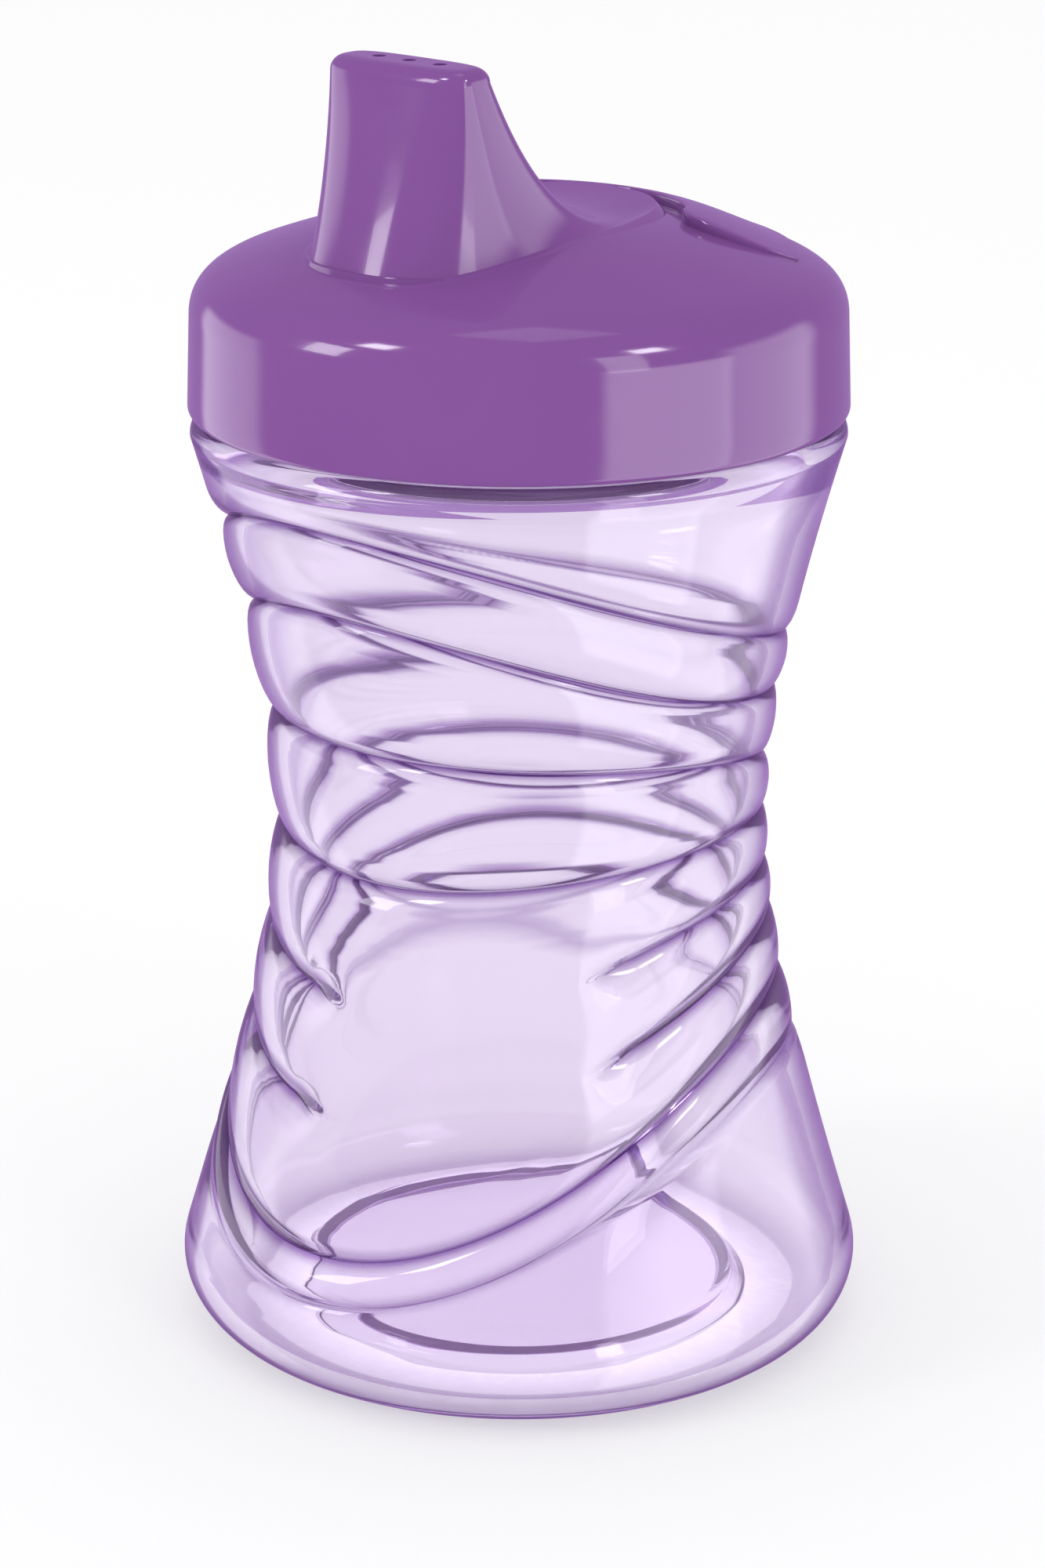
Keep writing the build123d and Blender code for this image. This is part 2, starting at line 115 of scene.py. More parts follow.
def blend(low: float, high: float, share: float) -> float:
    """Returns the value a share of the way from low to high."""
    return low + (high - low) * share


def round_point(radius: float, azimuth: float, height: float, centre: float = 0.0) -> Point:
    """Returns a point of a circle about Z, or about an upright line at Y = centre."""
    return radius * math.sin(azimuth), centre - radius * math.cos(azimuth), height


def line(start: Sequence[float], end: Sequence[float], steps: int) -> Outline:
    """Divides a straight run of an outline.

    Args:
        start: First (radius, height).
        end: Last (radius, height), left out of the result.
        steps: Number of stretches.

    Returns:
        The points from the first to the one before the last.
    """
    return [(blend(start[0], end[0], k / steps), blend(start[1], end[1], k / steps))
            for k in range(steps)]


def arc(centre: Sequence[float], radius: float, start: float, end: float, steps: int) -> Outline:
    """Divides a round stretch of an outline.

    Args:
        centre: Centre as (radius, height).
        radius: Radius of the arc.
        start: First angle in degrees, 0 outwards and 90 up.
        end: Last angle in degrees.
        steps: Number of stretches.

    Returns:
        The points from the first angle to the last, both in it.
    """
    angles = [math.radians(blend(start, end, k / steps)) for k in range(steps + 1)]
    return [(centre[0] + radius * math.cos(a), centre[1] + radius * math.sin(a)) for a in angles]


def bezier(marks: Sequence[tuple[float, float]], share: float) -> tuple[float, float]:
    """Returns the point of a cubic curve with four marks at a share of its run."""
    rest = 1.0 - share
    weights = (rest ** 3, 3.0 * share * rest ** 2, 3.0 * share ** 2 * rest, share ** 3)
    across = sum(w * mark[0] for w, mark in zip(weights, marks))
    up = sum(w * mark[1] for w, mark in zip(weights, marks))
    return across, up


def curve_through(marks: Sequence[tuple[float, float]], share: float) -> tuple[float, float]:
    """Returns a point of a smooth curve through marks.

    Args:
        marks: The points that it passes, evenly spaced along it.
        share: 0 at the first mark, 1 at the last.

    Returns:
        The point.
    """
    place = share * (len(marks) - 1)
    step = min(int(place), len(marks) - 2)
    t = place - step
    p0, p1, p2, p3 = (marks[max(0, min(len(marks) - 1, step + k))] for k in (-1, 0, 1, 2))
    weights = (-0.5 * t + t * t - 0.5 * t ** 3, 1.0 - 2.5 * t * t + 1.5 * t ** 3,
               0.5 * t + 2.0 * t * t - 1.5 * t ** 3, -0.5 * t * t + 0.5 * t ** 3)
    x = sum(w * p[0] for w, p in zip(weights, (p0, p1, p2, p3)))
    y = sum(w * p[1] for w, p in zip(weights, (p0, p1, p2, p3)))
    return x, y


def squared_oval(half_width: float, half_depth: float, centre: float, squareness: float,
                 azimuth: float) -> tuple[float, float]:
    """Returns a point of a superellipse.

    Args:
        half_width: Half its size along X.
        half_depth: Half its size along Y.
        centre: Y of its centre.
        squareness: Exponent: 2 is an ellipse, more is squarer.
        azimuth: Angle from the spout side (-Y) towards +X, in radians.

    Returns:
        X and Y.
    """
    across, along = math.sin(azimuth), -math.cos(azimuth)
    scale = (abs(across) ** squareness + abs(along) ** squareness) ** (-1.0 / squareness)
    return half_width * across * scale, centre + half_depth * along * scale


# ---- rings: every turned or lofted piece is a stack of them ------------------------------


class Ring(Protocol):
    """One closed ring of a piece's surface."""

    def at(self, azimuth: float) -> Point:
        """Returns the ring's point at an azimuth, in millimetres."""


@dataclass(frozen=True)
class RoundRing:
    """A level circle about Z."""

    radius: float
    height: float
    centre: float = 0.0

    def at(self, azimuth: float) -> Point:
        """Returns the ring's point at an azimuth."""
        return round_point(self.radius, azimuth, self.height, self.centre)


@dataclass(frozen=True)
class FreeRing:
    """A ring given by a function of the azimuth."""

    place: Callable[[float], Point]

    def at(self, azimuth: float) -> Point:
        """Returns the ring's point at an azimuth."""
        return self.place(azimuth)


def round_rings(outline: Outline, centre: float = 0.0) -> list[Ring]:
    """Returns a circle for each (radius, height) of an outline."""
    return [RoundRing(radius, height, centre) for radius, height in outline]


def free_rings(place: Callable[..., Point], settings: Iterable[tuple[float, ...]]) -> list[Ring]:
    """Returns a ring for each setting of a function of the azimuth and more values.

    Args:
        place: Gives a point from an azimuth and a setting's values.
        settings: The values of each ring, in order along the surface.

    Returns:
        The rings.
    """
    return [FreeRing(lambda azimuth, s=setting: place(azimuth, *s)) for setting in settings]


# ---- work with Blender's own tools ----------------------------------------


def deselect_all() -> None:
    """Leaves edit mode and clears the selection."""
    if bpy.context.object is not None and bpy.context.object.mode != "OBJECT":
        bpy.ops.object.mode_set(mode="OBJECT")
    bpy.ops.object.select_all(action="DESELECT")


def pick(piece: bpy.types.Object) -> None:
    """Makes one object the only selected and the active one."""
    deselect_all()
    piece.select_set(True)
    bpy.context.view_layer.objects.active = piece


def tidy_surface(piece: bpy.types.Object) -> None:
    """Welds doubled points, closes poles and turns every face outwards."""
    pick(piece)
    bpy.ops.object.mode_set(mode="EDIT")
    bpy.ops.mesh.select_all(action="SELECT")
    bpy.ops.mesh.remove_doubles(threshold=WELD_DISTANCE)
    bpy.ops.mesh.dissolve_degenerate(threshold=WELD_DISTANCE)
    bpy.ops.mesh.normals_make_consistent(inside=False)
    bpy.ops.object.mode_set(mode="OBJECT")


def ring_stack(name: str, rings: Sequence[Ring], columns: int) -> bpy.types.Object:
    """Builds a closed piece from a stack of rings.

    An upright line is extruded point by point and spun into a plain sleeve, whose points then
    move to their rings. A ring of no radius closes into a pole.

    Args:
        name: Name of the piece.
        rings: The rings in order along the surface.
        columns: Number of points round each ring.

    Returns:
        The new object, at the origin.
    """
    deselect_all()
    bpy.ops.mesh.primitive_plane_add(size=RING_PITCH)
    piece = bpy.context.object
    piece.name = name
    piece.data.name = name
    bpy.ops.object.mode_set(mode="EDIT")
    bpy.ops.mesh.select_mode(type="VERT")
    bpy.ops.mesh.select_all(action="SELECT")
    bpy.ops.mesh.merge(type="CENTER")
    bpy.ops.transform.translate(value=(SLEEVE_RADIUS, 0.0, 0.0))
    for _ in range(len(rings) - 1):
        bpy.ops.mesh.extrude_region_move(TRANSFORM_OT_translate={"value": (0.0, 0.0, RING_PITCH)})
    bpy.ops.mesh.select_all(action="SELECT")
    bpy.ops.mesh.spin(steps=columns, angle=math.tau, center=(0.0, 0.0, 0.0), axis=(0.0, 0.0, 1.0))
    bpy.ops.mesh.select_all(action="SELECT")
    bpy.ops.mesh.remove_doubles(threshold=RING_PITCH / 10.0)
    bpy.ops.object.mode_set(mode="OBJECT")
    for vertex in piece.data.vertices:
        ring = rings[round(vertex.co.z / RING_PITCH)]
        azimuth = math.atan2(vertex.co.x, -vertex.co.y)
        vertex.co = Vector(ring.at(azimuth)) * MM
    tidy_surface(piece)
    return piece


def combine(target: bpy.types.Object, tool: bpy.types.Object, how: Join) -> None:
    """Joins a closed mesh to another or cuts it out, and removes the tool."""
    pick(target)
    modifier = target.modifiers.new("combine", "BOOLEAN")
    modifier.operation = how.value
    modifier.solver = "EXACT"
    modifier.object = tool
    bpy.ops.object.modifier_apply(modifier=modifier.name)
    bpy.data.objects.remove(tool)


def joined(parts: Sequence[bpy.types.Object]) -> bpy.types.Object:
    """Joins separate meshes into one object without merging them."""
    pick(parts[0])
    for part in parts[1:]:
        part.select_set(True)
    bpy.ops.object.join()
    return parts[0]


def upright(name: str, radius: float, place: Point, top: float,
            bevel: float = 0.0) -> bpy.types.Object:
    """Makes an upright round bar with eased ends.

    Args:
        name: Name of the bar.
        radius: Its radius.
        place: Centre of its lower end.
        top: Height of its upper end.
        bevel: Width of the round at its ends.

    Returns:
        The bar.
    """
    deselect_all()
    depth = (top - place[2]) * MM
    centre = (place[0] * MM, place[1] * MM, (place[2] + top) / 2.0 * MM)
    bpy.ops.mesh.primitive_cylinder_add(vertices=64, radius=radius * MM, depth=depth)
    bar = bpy.context.object
    bar.name = name
    bpy.ops.object.mode_set(mode="EDIT")
    bpy.ops.mesh.select_all(action="SELECT")
    bpy.ops.transform.translate(value=centre)
    if bevel > 0.0:
        bpy.ops.mesh.select_all(action="DESELECT")
        bpy.ops.object.mode_set(mode="OBJECT")
        for face in bar.data.polygons:
            face.select = abs(face.normal.z) > 0.9
        bpy.ops.object.mode_set(mode="EDIT")
        bpy.ops.mesh.select_mode(type="FACE")
        bpy.ops.mesh.region_to_loop()
        bpy.ops.mesh.bevel(offset=bevel * MM, segments=3, affect="EDGES")
    bpy.ops.object.mode_set(mode="OBJECT")
    return bar


def block(name: str, size: Point, centre: Point, bevel: float = 0.0) -> bpy.types.Object:
    """Makes a straight block.

    Args:
        name: Name of the block.
        size: Its size along X, Y and Z.
        centre: Its middle.
        bevel: Width of the round on its edges.

    Returns:
        The block.
    """
    deselect_all()
    bpy.ops.mesh.primitive_cube_add(size=1.0)
    piece = bpy.context.object
    piece.name = name
    bpy.ops.object.mode_set(mode="EDIT")
    bpy.ops.mesh.select_all(action="SELECT")
    bpy.ops.transform.resize(value=[side * MM for side in size])
    bpy.ops.transform.translate(value=[place * MM for place in centre])
    if bevel > 0.0:
        bpy.ops.mesh.bevel(offset=bevel * MM, segments=3, affect="EDGES")
    bpy.ops.object.mode_set(mode="OBJECT")
    return piece


def finish_piece(piece: bpy.types.Object, material: bpy.types.Material, node: Node, body: Group,
                 sharp_angle: float) -> None:
    """Dresses a piece, smooths its shading and hands it to the frame.

    Args:
        piece: The finished mesh.
        material: Its finish.
        node: The frame node that it stands for.
        body: The body that it moves with.
        sharp_angle: Edges sharper than this, in degrees, stay sharp.
    """
    piece.data.materials.clear()
    piece.data.materials.append(material)
    pick(piece)
    bpy.ops.object.shade_smooth_by_angle(angle=math.radians(sharp_angle))
    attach(piece, body.value)
    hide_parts(node.value)
    LOG.info("%s: %d faces", piece.name, len(piece.data.polygons))


# ---- finishes ----------------------------------------


def new_material(name: str) -> tuple[bpy.types.Material, Tree, bpy.types.Node]:
    """Returns a material with nodes, its tree and its main shader."""
    material = bpy.data.materials.new(name)
    material.use_nodes = True
    tree = material.node_tree
    shader = next(node for node in tree.nodes if node.type == "BSDF_PRINCIPLED")
    return material, tree, shader


def noise(tree: Tree, scale: float, detail: float) -> bpy.types.Node:
    """Adds a noise pattern in the object's own metres.

    Args:
        tree: Node tree to add to.
        scale: Repeats per metre.
        detail: Number of finer layers.

    Returns:
        The noise node.
    """
    place = tree.nodes.new("ShaderNodeTexCoord")
    pattern = tree.nodes.new("ShaderNodeTexNoise")
    pattern.inputs["Scale"].default_value = scale
    pattern.inputs["Detail"].default_value = detail
    tree.links.new(place.outputs["Object"], pattern.inputs["Vector"])
    return pattern


def map_range(tree: Tree, value: Socket, ends: tuple[float, float],
              results: tuple[float, float] = (0.0, 1.0), smooth: bool = True) -> Socket:
    """Adds a map from one range of values to another.

    Args:
        tree: Node tree to add to.
        value: The value to map.
        ends: The two values where the result reaches its ends.
        results: The result at each of them.
        smooth: Eases the change between them.

    Returns:
        The mapped value.
    """
    node = tree.nodes.new("ShaderNodeMapRange")
    node.interpolation_type = "SMOOTHSTEP" if smooth else "LINEAR"
    names = ("From Min", "From Max", "To Min", "To Max")
    for name, number in zip(names, (*ends, *results)):
        node.inputs[name].default_value = number
    tree.links.new(value, node.inputs["Value"])
    return node.outputs["Result"]


def mix_colours(tree: Tree, blend_type: str, share: Socket, first: Colour | Socket,
                second: Colour | Socket) -> Socket:
    """Adds a mix of two colours.

    Args:
        tree: Node tree to add to.
        blend_type: Blender's name for the way to mix them.
        share: Share of the second colour.
        first: The first colour or its socket.
        second: The second colour or its socket.

    Returns:
        The mixed colour.
    """
    mix = tree.nodes.new("ShaderNodeMix")
    mix.data_type = "RGBA"
    mix.blend_type = blend_type
    tree.links.new(share, mix.inputs[0])
    for colour, socket in ((first, mix.inputs[6]), (second, mix.inputs[7])):
        if isinstance(colour, Socket):
            tree.links.new(colour, socket)
        else:
            socket.default_value = (*colour, 1.0)
    return mix.outputs[2]


def ramp(tree: Tree, source: bpy.types.Node, low: Colour, high: Colour) -> Socket:
    """Adds a colour ramp over a pattern and returns its colour."""
    node = tree.nodes.new("ShaderNodeValToRGB")
    for element, position, colour in zip(
            node.color_ramp.elements, (PATTERN_LOW, PATTERN_HIGH), (low, high)):
        element.position = position
        element.color = (*colour, 1.0)
    tree.links.new(source.outputs["Fac"], node.inputs["Fac"])
    return node.outputs["Color"]


def roughen(tree: Tree, shader: bpy.types.Node, source: bpy.types.Node, low: float,
            high: float) -> None:
    """Lets a pattern vary a shader's roughness between two values."""
    ends = (PATTERN_LOW, PATTERN_HIGH)
    rough = map_range(tree, source.outputs["Fac"], ends, (low, high), smooth=False)
    tree.links.new(rough, shader.inputs["Roughness"])


def emboss(tree: Tree, source: bpy.types.Node, shader: bpy.types.Node, height: float,
           strength: float) -> None:
    """Lets a pattern raise the surface a little.

    Args:
        tree: Node tree to add to.
        source: Pattern that gives the height.
        shader: Shader that takes the normal.
        height: Full height in metres.
        strength: How much of it shows.
    """
    bump = tree.nodes.new("ShaderNodeBump")
    bump.inputs["Distance"].default_value = height
    bump.inputs["Strength"].default_value = strength
    tree.links.new(source.outputs["Fac"], bump.inputs["Height"])
    tree.links.new(bump.outputs["Normal"], shader.inputs["Normal"])


def math_node(tree: Tree, operation: str, *values: float | Socket) -> Socket:
    """Adds a maths node over numbers or sockets and returns its result."""
    node = tree.nodes.new("ShaderNodeMath")
    node.operation = operation
    for value, socket in zip(values, node.inputs):
        if isinstance(value, Socket):
            tree.links.new(value, socket)
        else:
            socket.default_value = value
    return node.outputs[0]


def attribute(tree: Tree, name: str) -> Socket:
    """Adds a reader of a mesh attribute and returns its value."""
    reader = tree.nodes.new("ShaderNodeAttribute")
    reader.attribute_name = name
    return reader.outputs["Fac"]


@dataclass(frozen=True)
class ClearPlastic:
    """Clear, tinted and polished plastic, with painted shade along its grooves and towards its
    edges, and a faint painted violet glow.
    """

    name: str = "clear_lavender"
    face: Colour = (0.985, 0.965, 0.996)
    face_shade: Colour = (0.978, 0.955, 0.990)
    # Painted shade multiplied in along the groove lines, standing in for the dark refraction lines
    # there.
    groove: Colour = (0.20, 0.09, 0.34)
    # Painted shade towards the side wall's edges as seen, standing in for the darker refraction at
    # the silhouettes.
    edge: Colour = (0.27, 0.14, 0.42)
    edge_shade_range: tuple[float, float] = (0.50, 0.84)
    clearness: float = 0.95
    depth_tint: Colour = (0.58, 0.42, 0.76)
    depth_density: float = 68.0
    ior: float = 1.5
    # Painted glow: a faint violet light given off by the plastic that lifts its shaded parts.
    painted_glow: Colour = (0.36, 0.14, 0.50)
    painted_glow_strength: float = 0.04

    def material(self) -> bpy.types.Material:
        """Returns the finish as a material."""
        material, tree, shader = new_material(self.name)
        shader.inputs["Transmission Weight"].default_value = self.clearness
        shader.inputs["IOR"].default_value = self.ior
        # Painted glow: the plastic gives off a faint violet light of its own.
        shader.inputs["Emission Color"].default_value = (*self.painted_glow, 1.0)
        shader.inputs["Emission Strength"].default_value = self.painted_glow_strength
        face = ramp(tree, noise(tree, 35.0, 2.0), self.face_shade, self.face)
        # Painted shade: the colour is darkened along the groove lines.
        groove_shaded = mix_colours(tree, "MULTIPLY", attribute(tree, GROOVE_SHADE_MARK), face, self.groove)
        # Painted shade towards the edges: darker where the surface turns from the line of sight, on
        # the side wall only.
        facing = tree.nodes.new("ShaderNodeLayerWeight")
        facing.inputs["Blend"].default_value = 0.5
        rise = map_range(tree, facing.outputs["Facing"], self.edge_shade_range)
        share = math_node(tree, "MULTIPLY", rise, attribute(tree, WALL_SHADE_MARK))
        edge_shaded = mix_colours(tree, "MULTIPLY", share, groove_shaded, self.edge)
        tree.links.new(edge_shaded, shader.inputs["Base Color"])
        roughen(tree, shader, noise(tree, 180.0, 3.0), 0.0, 0.03)
        emboss(tree, noise(tree, 60.0, 1.0), shader, 0.00002, 0.25)
        depth = tree.nodes.new("ShaderNodeVolumeAbsorption")
        depth.inputs["Color"].default_value = (*self.depth_tint, 1.0)
        depth.inputs["Density"].default_value = self.depth_density
        output = next(node for node in tree.nodes if node.type == "OUTPUT_MATERIAL")
        tree.links.new(depth.outputs["Volume"], output.inputs["Volume"])
        return material


@dataclass(frozen=True)
class GlossPlastic:
    """Opaque moulded plastic with a polished skin."""

    name: str = "violet_gloss"
    colour: Colour = (0.222, 0.080, 0.305)
    shade: Colour = (0.210, 0.073, 0.291)
    roughness: tuple[float, float] = (0.10, 0.17)
    coat: float = 0.5
    coat_roughness: float = 0.04
    ior: float = 1.49

    def material(self) -> bpy.types.Material:
        """Returns the finish as a material."""
        material, tree, shader = new_material(self.name)
        shader.inputs["Coat Weight"].default_value = self.coat
        shader.inputs["Coat Roughness"].default_value = self.coat_roughness
        shader.inputs["IOR"].default_value = self.ior
        tint = ramp(tree, noise(tree, 28.0, 3.0), self.shade, self.colour)
        tree.links.new(tint, shader.inputs["Base Color"])
        roughen(tree, shader, noise(tree, 240.0, 4.0), *self.roughness)
        emboss(tree, noise(tree, 420.0, 2.0), shader, 0.00001, 0.12)
        return material


@dataclass(frozen=True)
class Silicone:
    """Soft, cloudy, slightly see-through rubber."""

    name: str
    colour: Colour
    shade: Colour
    clearness: float
    ior: float = 1.41
    sheen: float = 0.15
    roughness: tuple[float, float] = (0.32, 0.46)

    def material(self) -> bpy.types.Material:
        """Returns the finish as a material."""
        material, tree, shader = new_material(self.name)
        shader.inputs["Transmission Weight"].default_value = self.clearness
        shader.inputs["IOR"].default_value = self.ior
        shader.inputs["Sheen Weight"].default_value = self.sheen
        tint = ramp(tree, noise(tree, 90.0, 3.0), self.shade, self.colour)
        tree.links.new(tint, shader.inputs["Base Color"])
        roughen(tree, shader, noise(tree, 700.0, 3.0), *self.roughness)
        emboss(tree, noise(tree, 900.0, 2.0), shader, 0.00003, 0.3)
        return material


CLOUDY = Silicone("cloudy_silicone", (0.90, 0.89, 0.92), (0.84, 0.83, 0.87), 0.55)
MILKY = Silicone("milky_silicone", (0.88, 0.86, 0.90), (0.82, 0.80, 0.85), 0.2)


@dataclass(frozen=True)
class StudioPaint:
    """Matt white of a studio floor that glows a little all over, and more under the cup as a
    painted pool of light.
    """

    name: str = "studio_white"
    colour: Colour = (0.55, 0.55, 0.555)
    glow: float = 0.46
    # Painted pool of light: the floor glows brighter under the cup, fading out between these
    # distances.
    light_pool_glow: float = 0.85
    light_pool_start: float = 0.0238
    light_pool_end: float = 0.0364
    roughness: float = 0.9
    gloss: float = 0.1

    def material(self) -> bpy.types.Material:
        """Returns the finish as a material."""
        material, tree, shader = new_material(self.name)
        shader.inputs["Emission Color"].default_value = (1.0, 1.0, 1.0, 1.0)
        shader.inputs["Roughness"].default_value = self.roughness
        shader.inputs["Specular IOR Level"].default_value = self.gloss
        tint = ramp(tree, noise(tree, 2.0, 2.0), self.colour, self.colour)
        tree.links.new(tint, shader.inputs["Base Color"])
        # Painted pool of light: the glow rises towards the middle, under the cup.
        place = tree.nodes.new("ShaderNodeTexCoord")
        away = tree.nodes.new("ShaderNodeVectorMath")
        away.operation = "LENGTH"
        tree.links.new(place.outputs["Object"], away.inputs[0])
        ends, glows = (self.light_pool_start, self.light_pool_end), (self.light_pool_glow, self.glow)
        glow = map_range(tree, away.outputs["Value"], ends, glows)
        tree.links.new(glow, shader.inputs["Emission Strength"])
        return material


# ---- screw thread shared by the neck and the lid ----------------------------------------


@dataclass(frozen=True)
class Thread:
    """Ridges that wind round a wall, as a height over that wall."""

    lead: float = 7.0
    starts: int = 2
    rise: float = 1.6
    root: float = 1.5
    crest: float = 0.8
    run_out: float = 14.0

    def height(self, azimuth: float, level: float, first: float, turn: float,
               sweep: float) -> float:
        """Returns how far the ridges stand over the wall at a place.

        Args:
            azimuth: Angle from the spout side towards +X, in radians.
            level: Height of the place.
            first: Height of the lower end of the ridges' middle line.
            turn: Angle of the first ridge's lower end from +X, in degrees.
            sweep: Angle that each ridge covers, in degrees.

        Returns:
            A height of 0 or more.
        """
        tallest = 0.0
        for start in range(self.starts):
            begin = turn + 360.0 * start / self.starts
            along = (math.degrees(azimuth) - 90.0 - begin) % 360.0
            if along > sweep:
                continue
            fade = smooth_step(along / self.run_out) * smooth_step((sweep - along) / self.run_out)
            away = abs(level - first - self.lead * along / 360.0)
            flank = (self.root / 2.0 - away) / (self.root / 2.0 - self.crest / 2.0)
            tallest = max(tallest, self.rise * fade * smooth_step(flank))
        return tallest


# ---- cup body ----------------------------------------


@dataclass(frozen=True)
class Groove:
    """One tilted ring groove of the grip.

    Heights are those at the spout side, at the flanks and at the vent side. A groove that stops
    at the plain panel fades out there.
    """

    spout_side: float
    flank: float
    vent_side: float
    strength: float = 1.0
    fades: bool = False

    def height(self, azimuth: float) -> float:
        """Returns the groove's height at an azimuth."""
        mean = (self.spout_side + self.vent_side + 2.0 * self.flank) / 4.0
        tilt = (self.spout_side - self.vent_side) / 2.0
        bend = (self.spout_side + self.vent_side - 2.0 * self.flank) / 4.0
        return mean + tilt * math.cos(azimuth) + bend * math.cos(2.0 * azimuth)


GRIP = (
    Groove(12.2, 32.5, 32.4, strength=0.55),
    Groove(17.0, 38.1, 41.6),
    Groove(32.2, 46.1, 50.8, fades=True),
    Groove(45.3, 54.3, 55.3, fades=True),
    Groove(59.5, 62.6, 61.7),
    Groove(74.9, 72.5, 66.1),
    Groove(91.1, 80.2, 77.3),
    Groove(101.5, 88.4, 82.5),
)


@dataclass(frozen=True)
class CupBody:
    """The clear hourglass cup with its grip grooves, neck and outer thread."""

    base_radius: float
    rim_height: float
    finish: ClearPlastic
    wall: float = 2.2
    heel_fillet: float = 7.0
    heel_angle: float = 17.2
    waist_radius: float = 28.9
    waist_height: float = 62.0
    shoulder_radius: float = 37.1
    shoulder_height: float = 108.8
    shoulder_round: float = 2.0
    lower_flare: float = 0.34
    upper_flare: float = 0.36
    push_up_radius: float = 26.5
    push_up_height: float = 2.2
    neck_radius: float = 32.8
    neck_wall: float = 2.2
    inner_ease: float = 0.7
    neck_root: float = 0.6
    ring_round: float = 0.6
    recess_round: float = 1.0
    floor_round: float = 1.2
    depth_share: float = 0.15
    groove_reach: float = 6.0
    groove_softness: float = 0.3
    panel_azimuth: float = 28.0
    panel_half_width: float = 34.0
    panel_ramp: float = 14.0
    # Width of the painted shade along each groove's line.
    groove_shade_width: float = 0.6
    thread: Thread = Thread()
    thread_first: float = 111.6
    thread_turn: float = 20.0
    thread_sweep: float = 240.0
    columns: int = 224

    @property
    def cone_bottom(self) -> float:
        """Height at which the heel turns into the lower cone."""
        return self.heel_fillet * (1.0 + math.sin(math.radians(self.heel_angle)))

    @property
    def cone_bottom_radius(self) -> float:
        """Radius at which the heel turns into the lower cone."""
        return self.base_radius - self.heel_fillet * (1.0 - math.cos(math.radians(self.heel_angle)))

    @property
    def cone_top(self) -> float:
        """Height at which the upper cone turns into the shoulder."""
        return self.shoulder_height - self.shoulder_round

    def flare(self, height: float, end: float, radius: float, slope: float) -> float:
        """Returns the radius of one half of the hourglass at a height.

        Args:
            height: Where to measure.
            end: Height of that half's outer end.
            radius: Radius at that end.
            slope: Slope that the half tends to.

        Returns:
            The radius of a hyperbola from the waist to the end.
        """
        distance = abs(end - self.waist_height)
        gain = (radius - self.waist_radius) / slope
        softness = (distance ** 2 - gain ** 2) / (2.0 * gain)
        reach = math.hypot(height - self.waist_height, softness)
        return self.waist_radius + slope * (reach - softness)

    def plain_radius(self, height: float) -> float:
        """Returns the radius over the bulges at a height."""
        if height < self.waist_height:
            return self.flare(height, self.cone_bottom, self.cone_bottom_radius, self.lower_flare)
        return self.flare(height, self.cone_top, self.shoulder_radius, self.upper_flare)

    def presence(self, groove: Groove, azimuth: float) -> float:
        """Returns how much of a groove is left at an azimuth, 0 in the plain panel."""
        if not groove.fades:
            return groove.strength
        away = abs((math.degrees(azimuth) - self.panel_azimuth + 180.0) % 360.0 - 180.0)
        return groove.strength * smooth_step((away - self.panel_half_width) / self.panel_ramp + 0.5)

    def cove(self, distance: float, reach: float) -> float:
        """Returns the share of a groove's depth at a distance from its line."""
        softened = math.hypot(distance, self.groove_softness) - self.groove_softness
        t = min(1.0, softened / reach)
        return 1.0 - math.sqrt(1.0 - (1.0 - t) ** 2)

    def radius(self, azimuth: float, height: float) -> float:
        """Returns the outer radius of the grooved wall."""
        lines = [groove.height(azimuth) for groove in GRIP]
        gaps = [above - below for below, above in zip(lines, lines[1:])]
        foot = min(2.0 * (lines[0] - self.cone_bottom), 2.0 * self.groove_reach)
        head = min(2.0 * (self.cone_top - lines[-1]), self.groove_reach)
        rooms = list(zip([foot, *gaps], [*gaps, head]))
        spacings = [gaps[0], *((above + below) / 2.0 for below, above in rooms[1:-1]), gaps[-1]]
        deepest = 0.0
        for groove, level, (below, above), spacing in zip(GRIP, lines, rooms, spacings):
            reach = (below if height < level else above) / 2.0
            depth = self.depth_share * spacing * self.presence(groove, azimuth)
            deepest = max(deepest, depth * self.cove(abs(height - level), reach))
        return self.plain_radius(height) - deepest

    def groove_shade_share(self, azimuth: float, height: float) -> float:
        """Returns the mask of the painted shade along the grooves: 1 on a groove's line, falling to
        0 beside it and where the groove fades out.
        """
        mark = 0.0
        for groove in GRIP:
            away = (height - groove.height(azimuth)) / self.groove_shade_width
            mark = max(mark, self.presence(groove, azimuth) * math.exp(-away * away))
        return mark

    def mark_painted_shade(self, cup: bpy.types.Object) -> None:
        """Stores the masks of the painted shade: how near each point lies to a groove's line, and
        if it is on the side wall, where the edges take painted shade.
        """
        grooves = cup.data.attributes.new(GROOVE_SHADE_MARK, "FLOAT", "POINT")
        walls = cup.data.attributes.new(WALL_SHADE_MARK, "FLOAT", "POINT")
        floor_width = self.base_radius - self.heel_fillet - self.push_up_radius
        for vertex, groove, wall in zip(cup.data.vertices, grooves.data, walls.data):
            height, radius = vertex.co.z / MM, vertex.co.xy.length / MM
            if self.cone_bottom < height < self.cone_top:
                groove.value = self.groove_shade_share(math.atan2(vertex.co.x, -vertex.co.y), height)
            # The wall mask keeps the painted edge shade on the side wall, away from the underside.
            beside = smooth_step((radius - self.push_up_radius) / floor_width)
            wall.value = max(beside, smooth_step((height - self.heel_fillet) / self.heel_fillet))

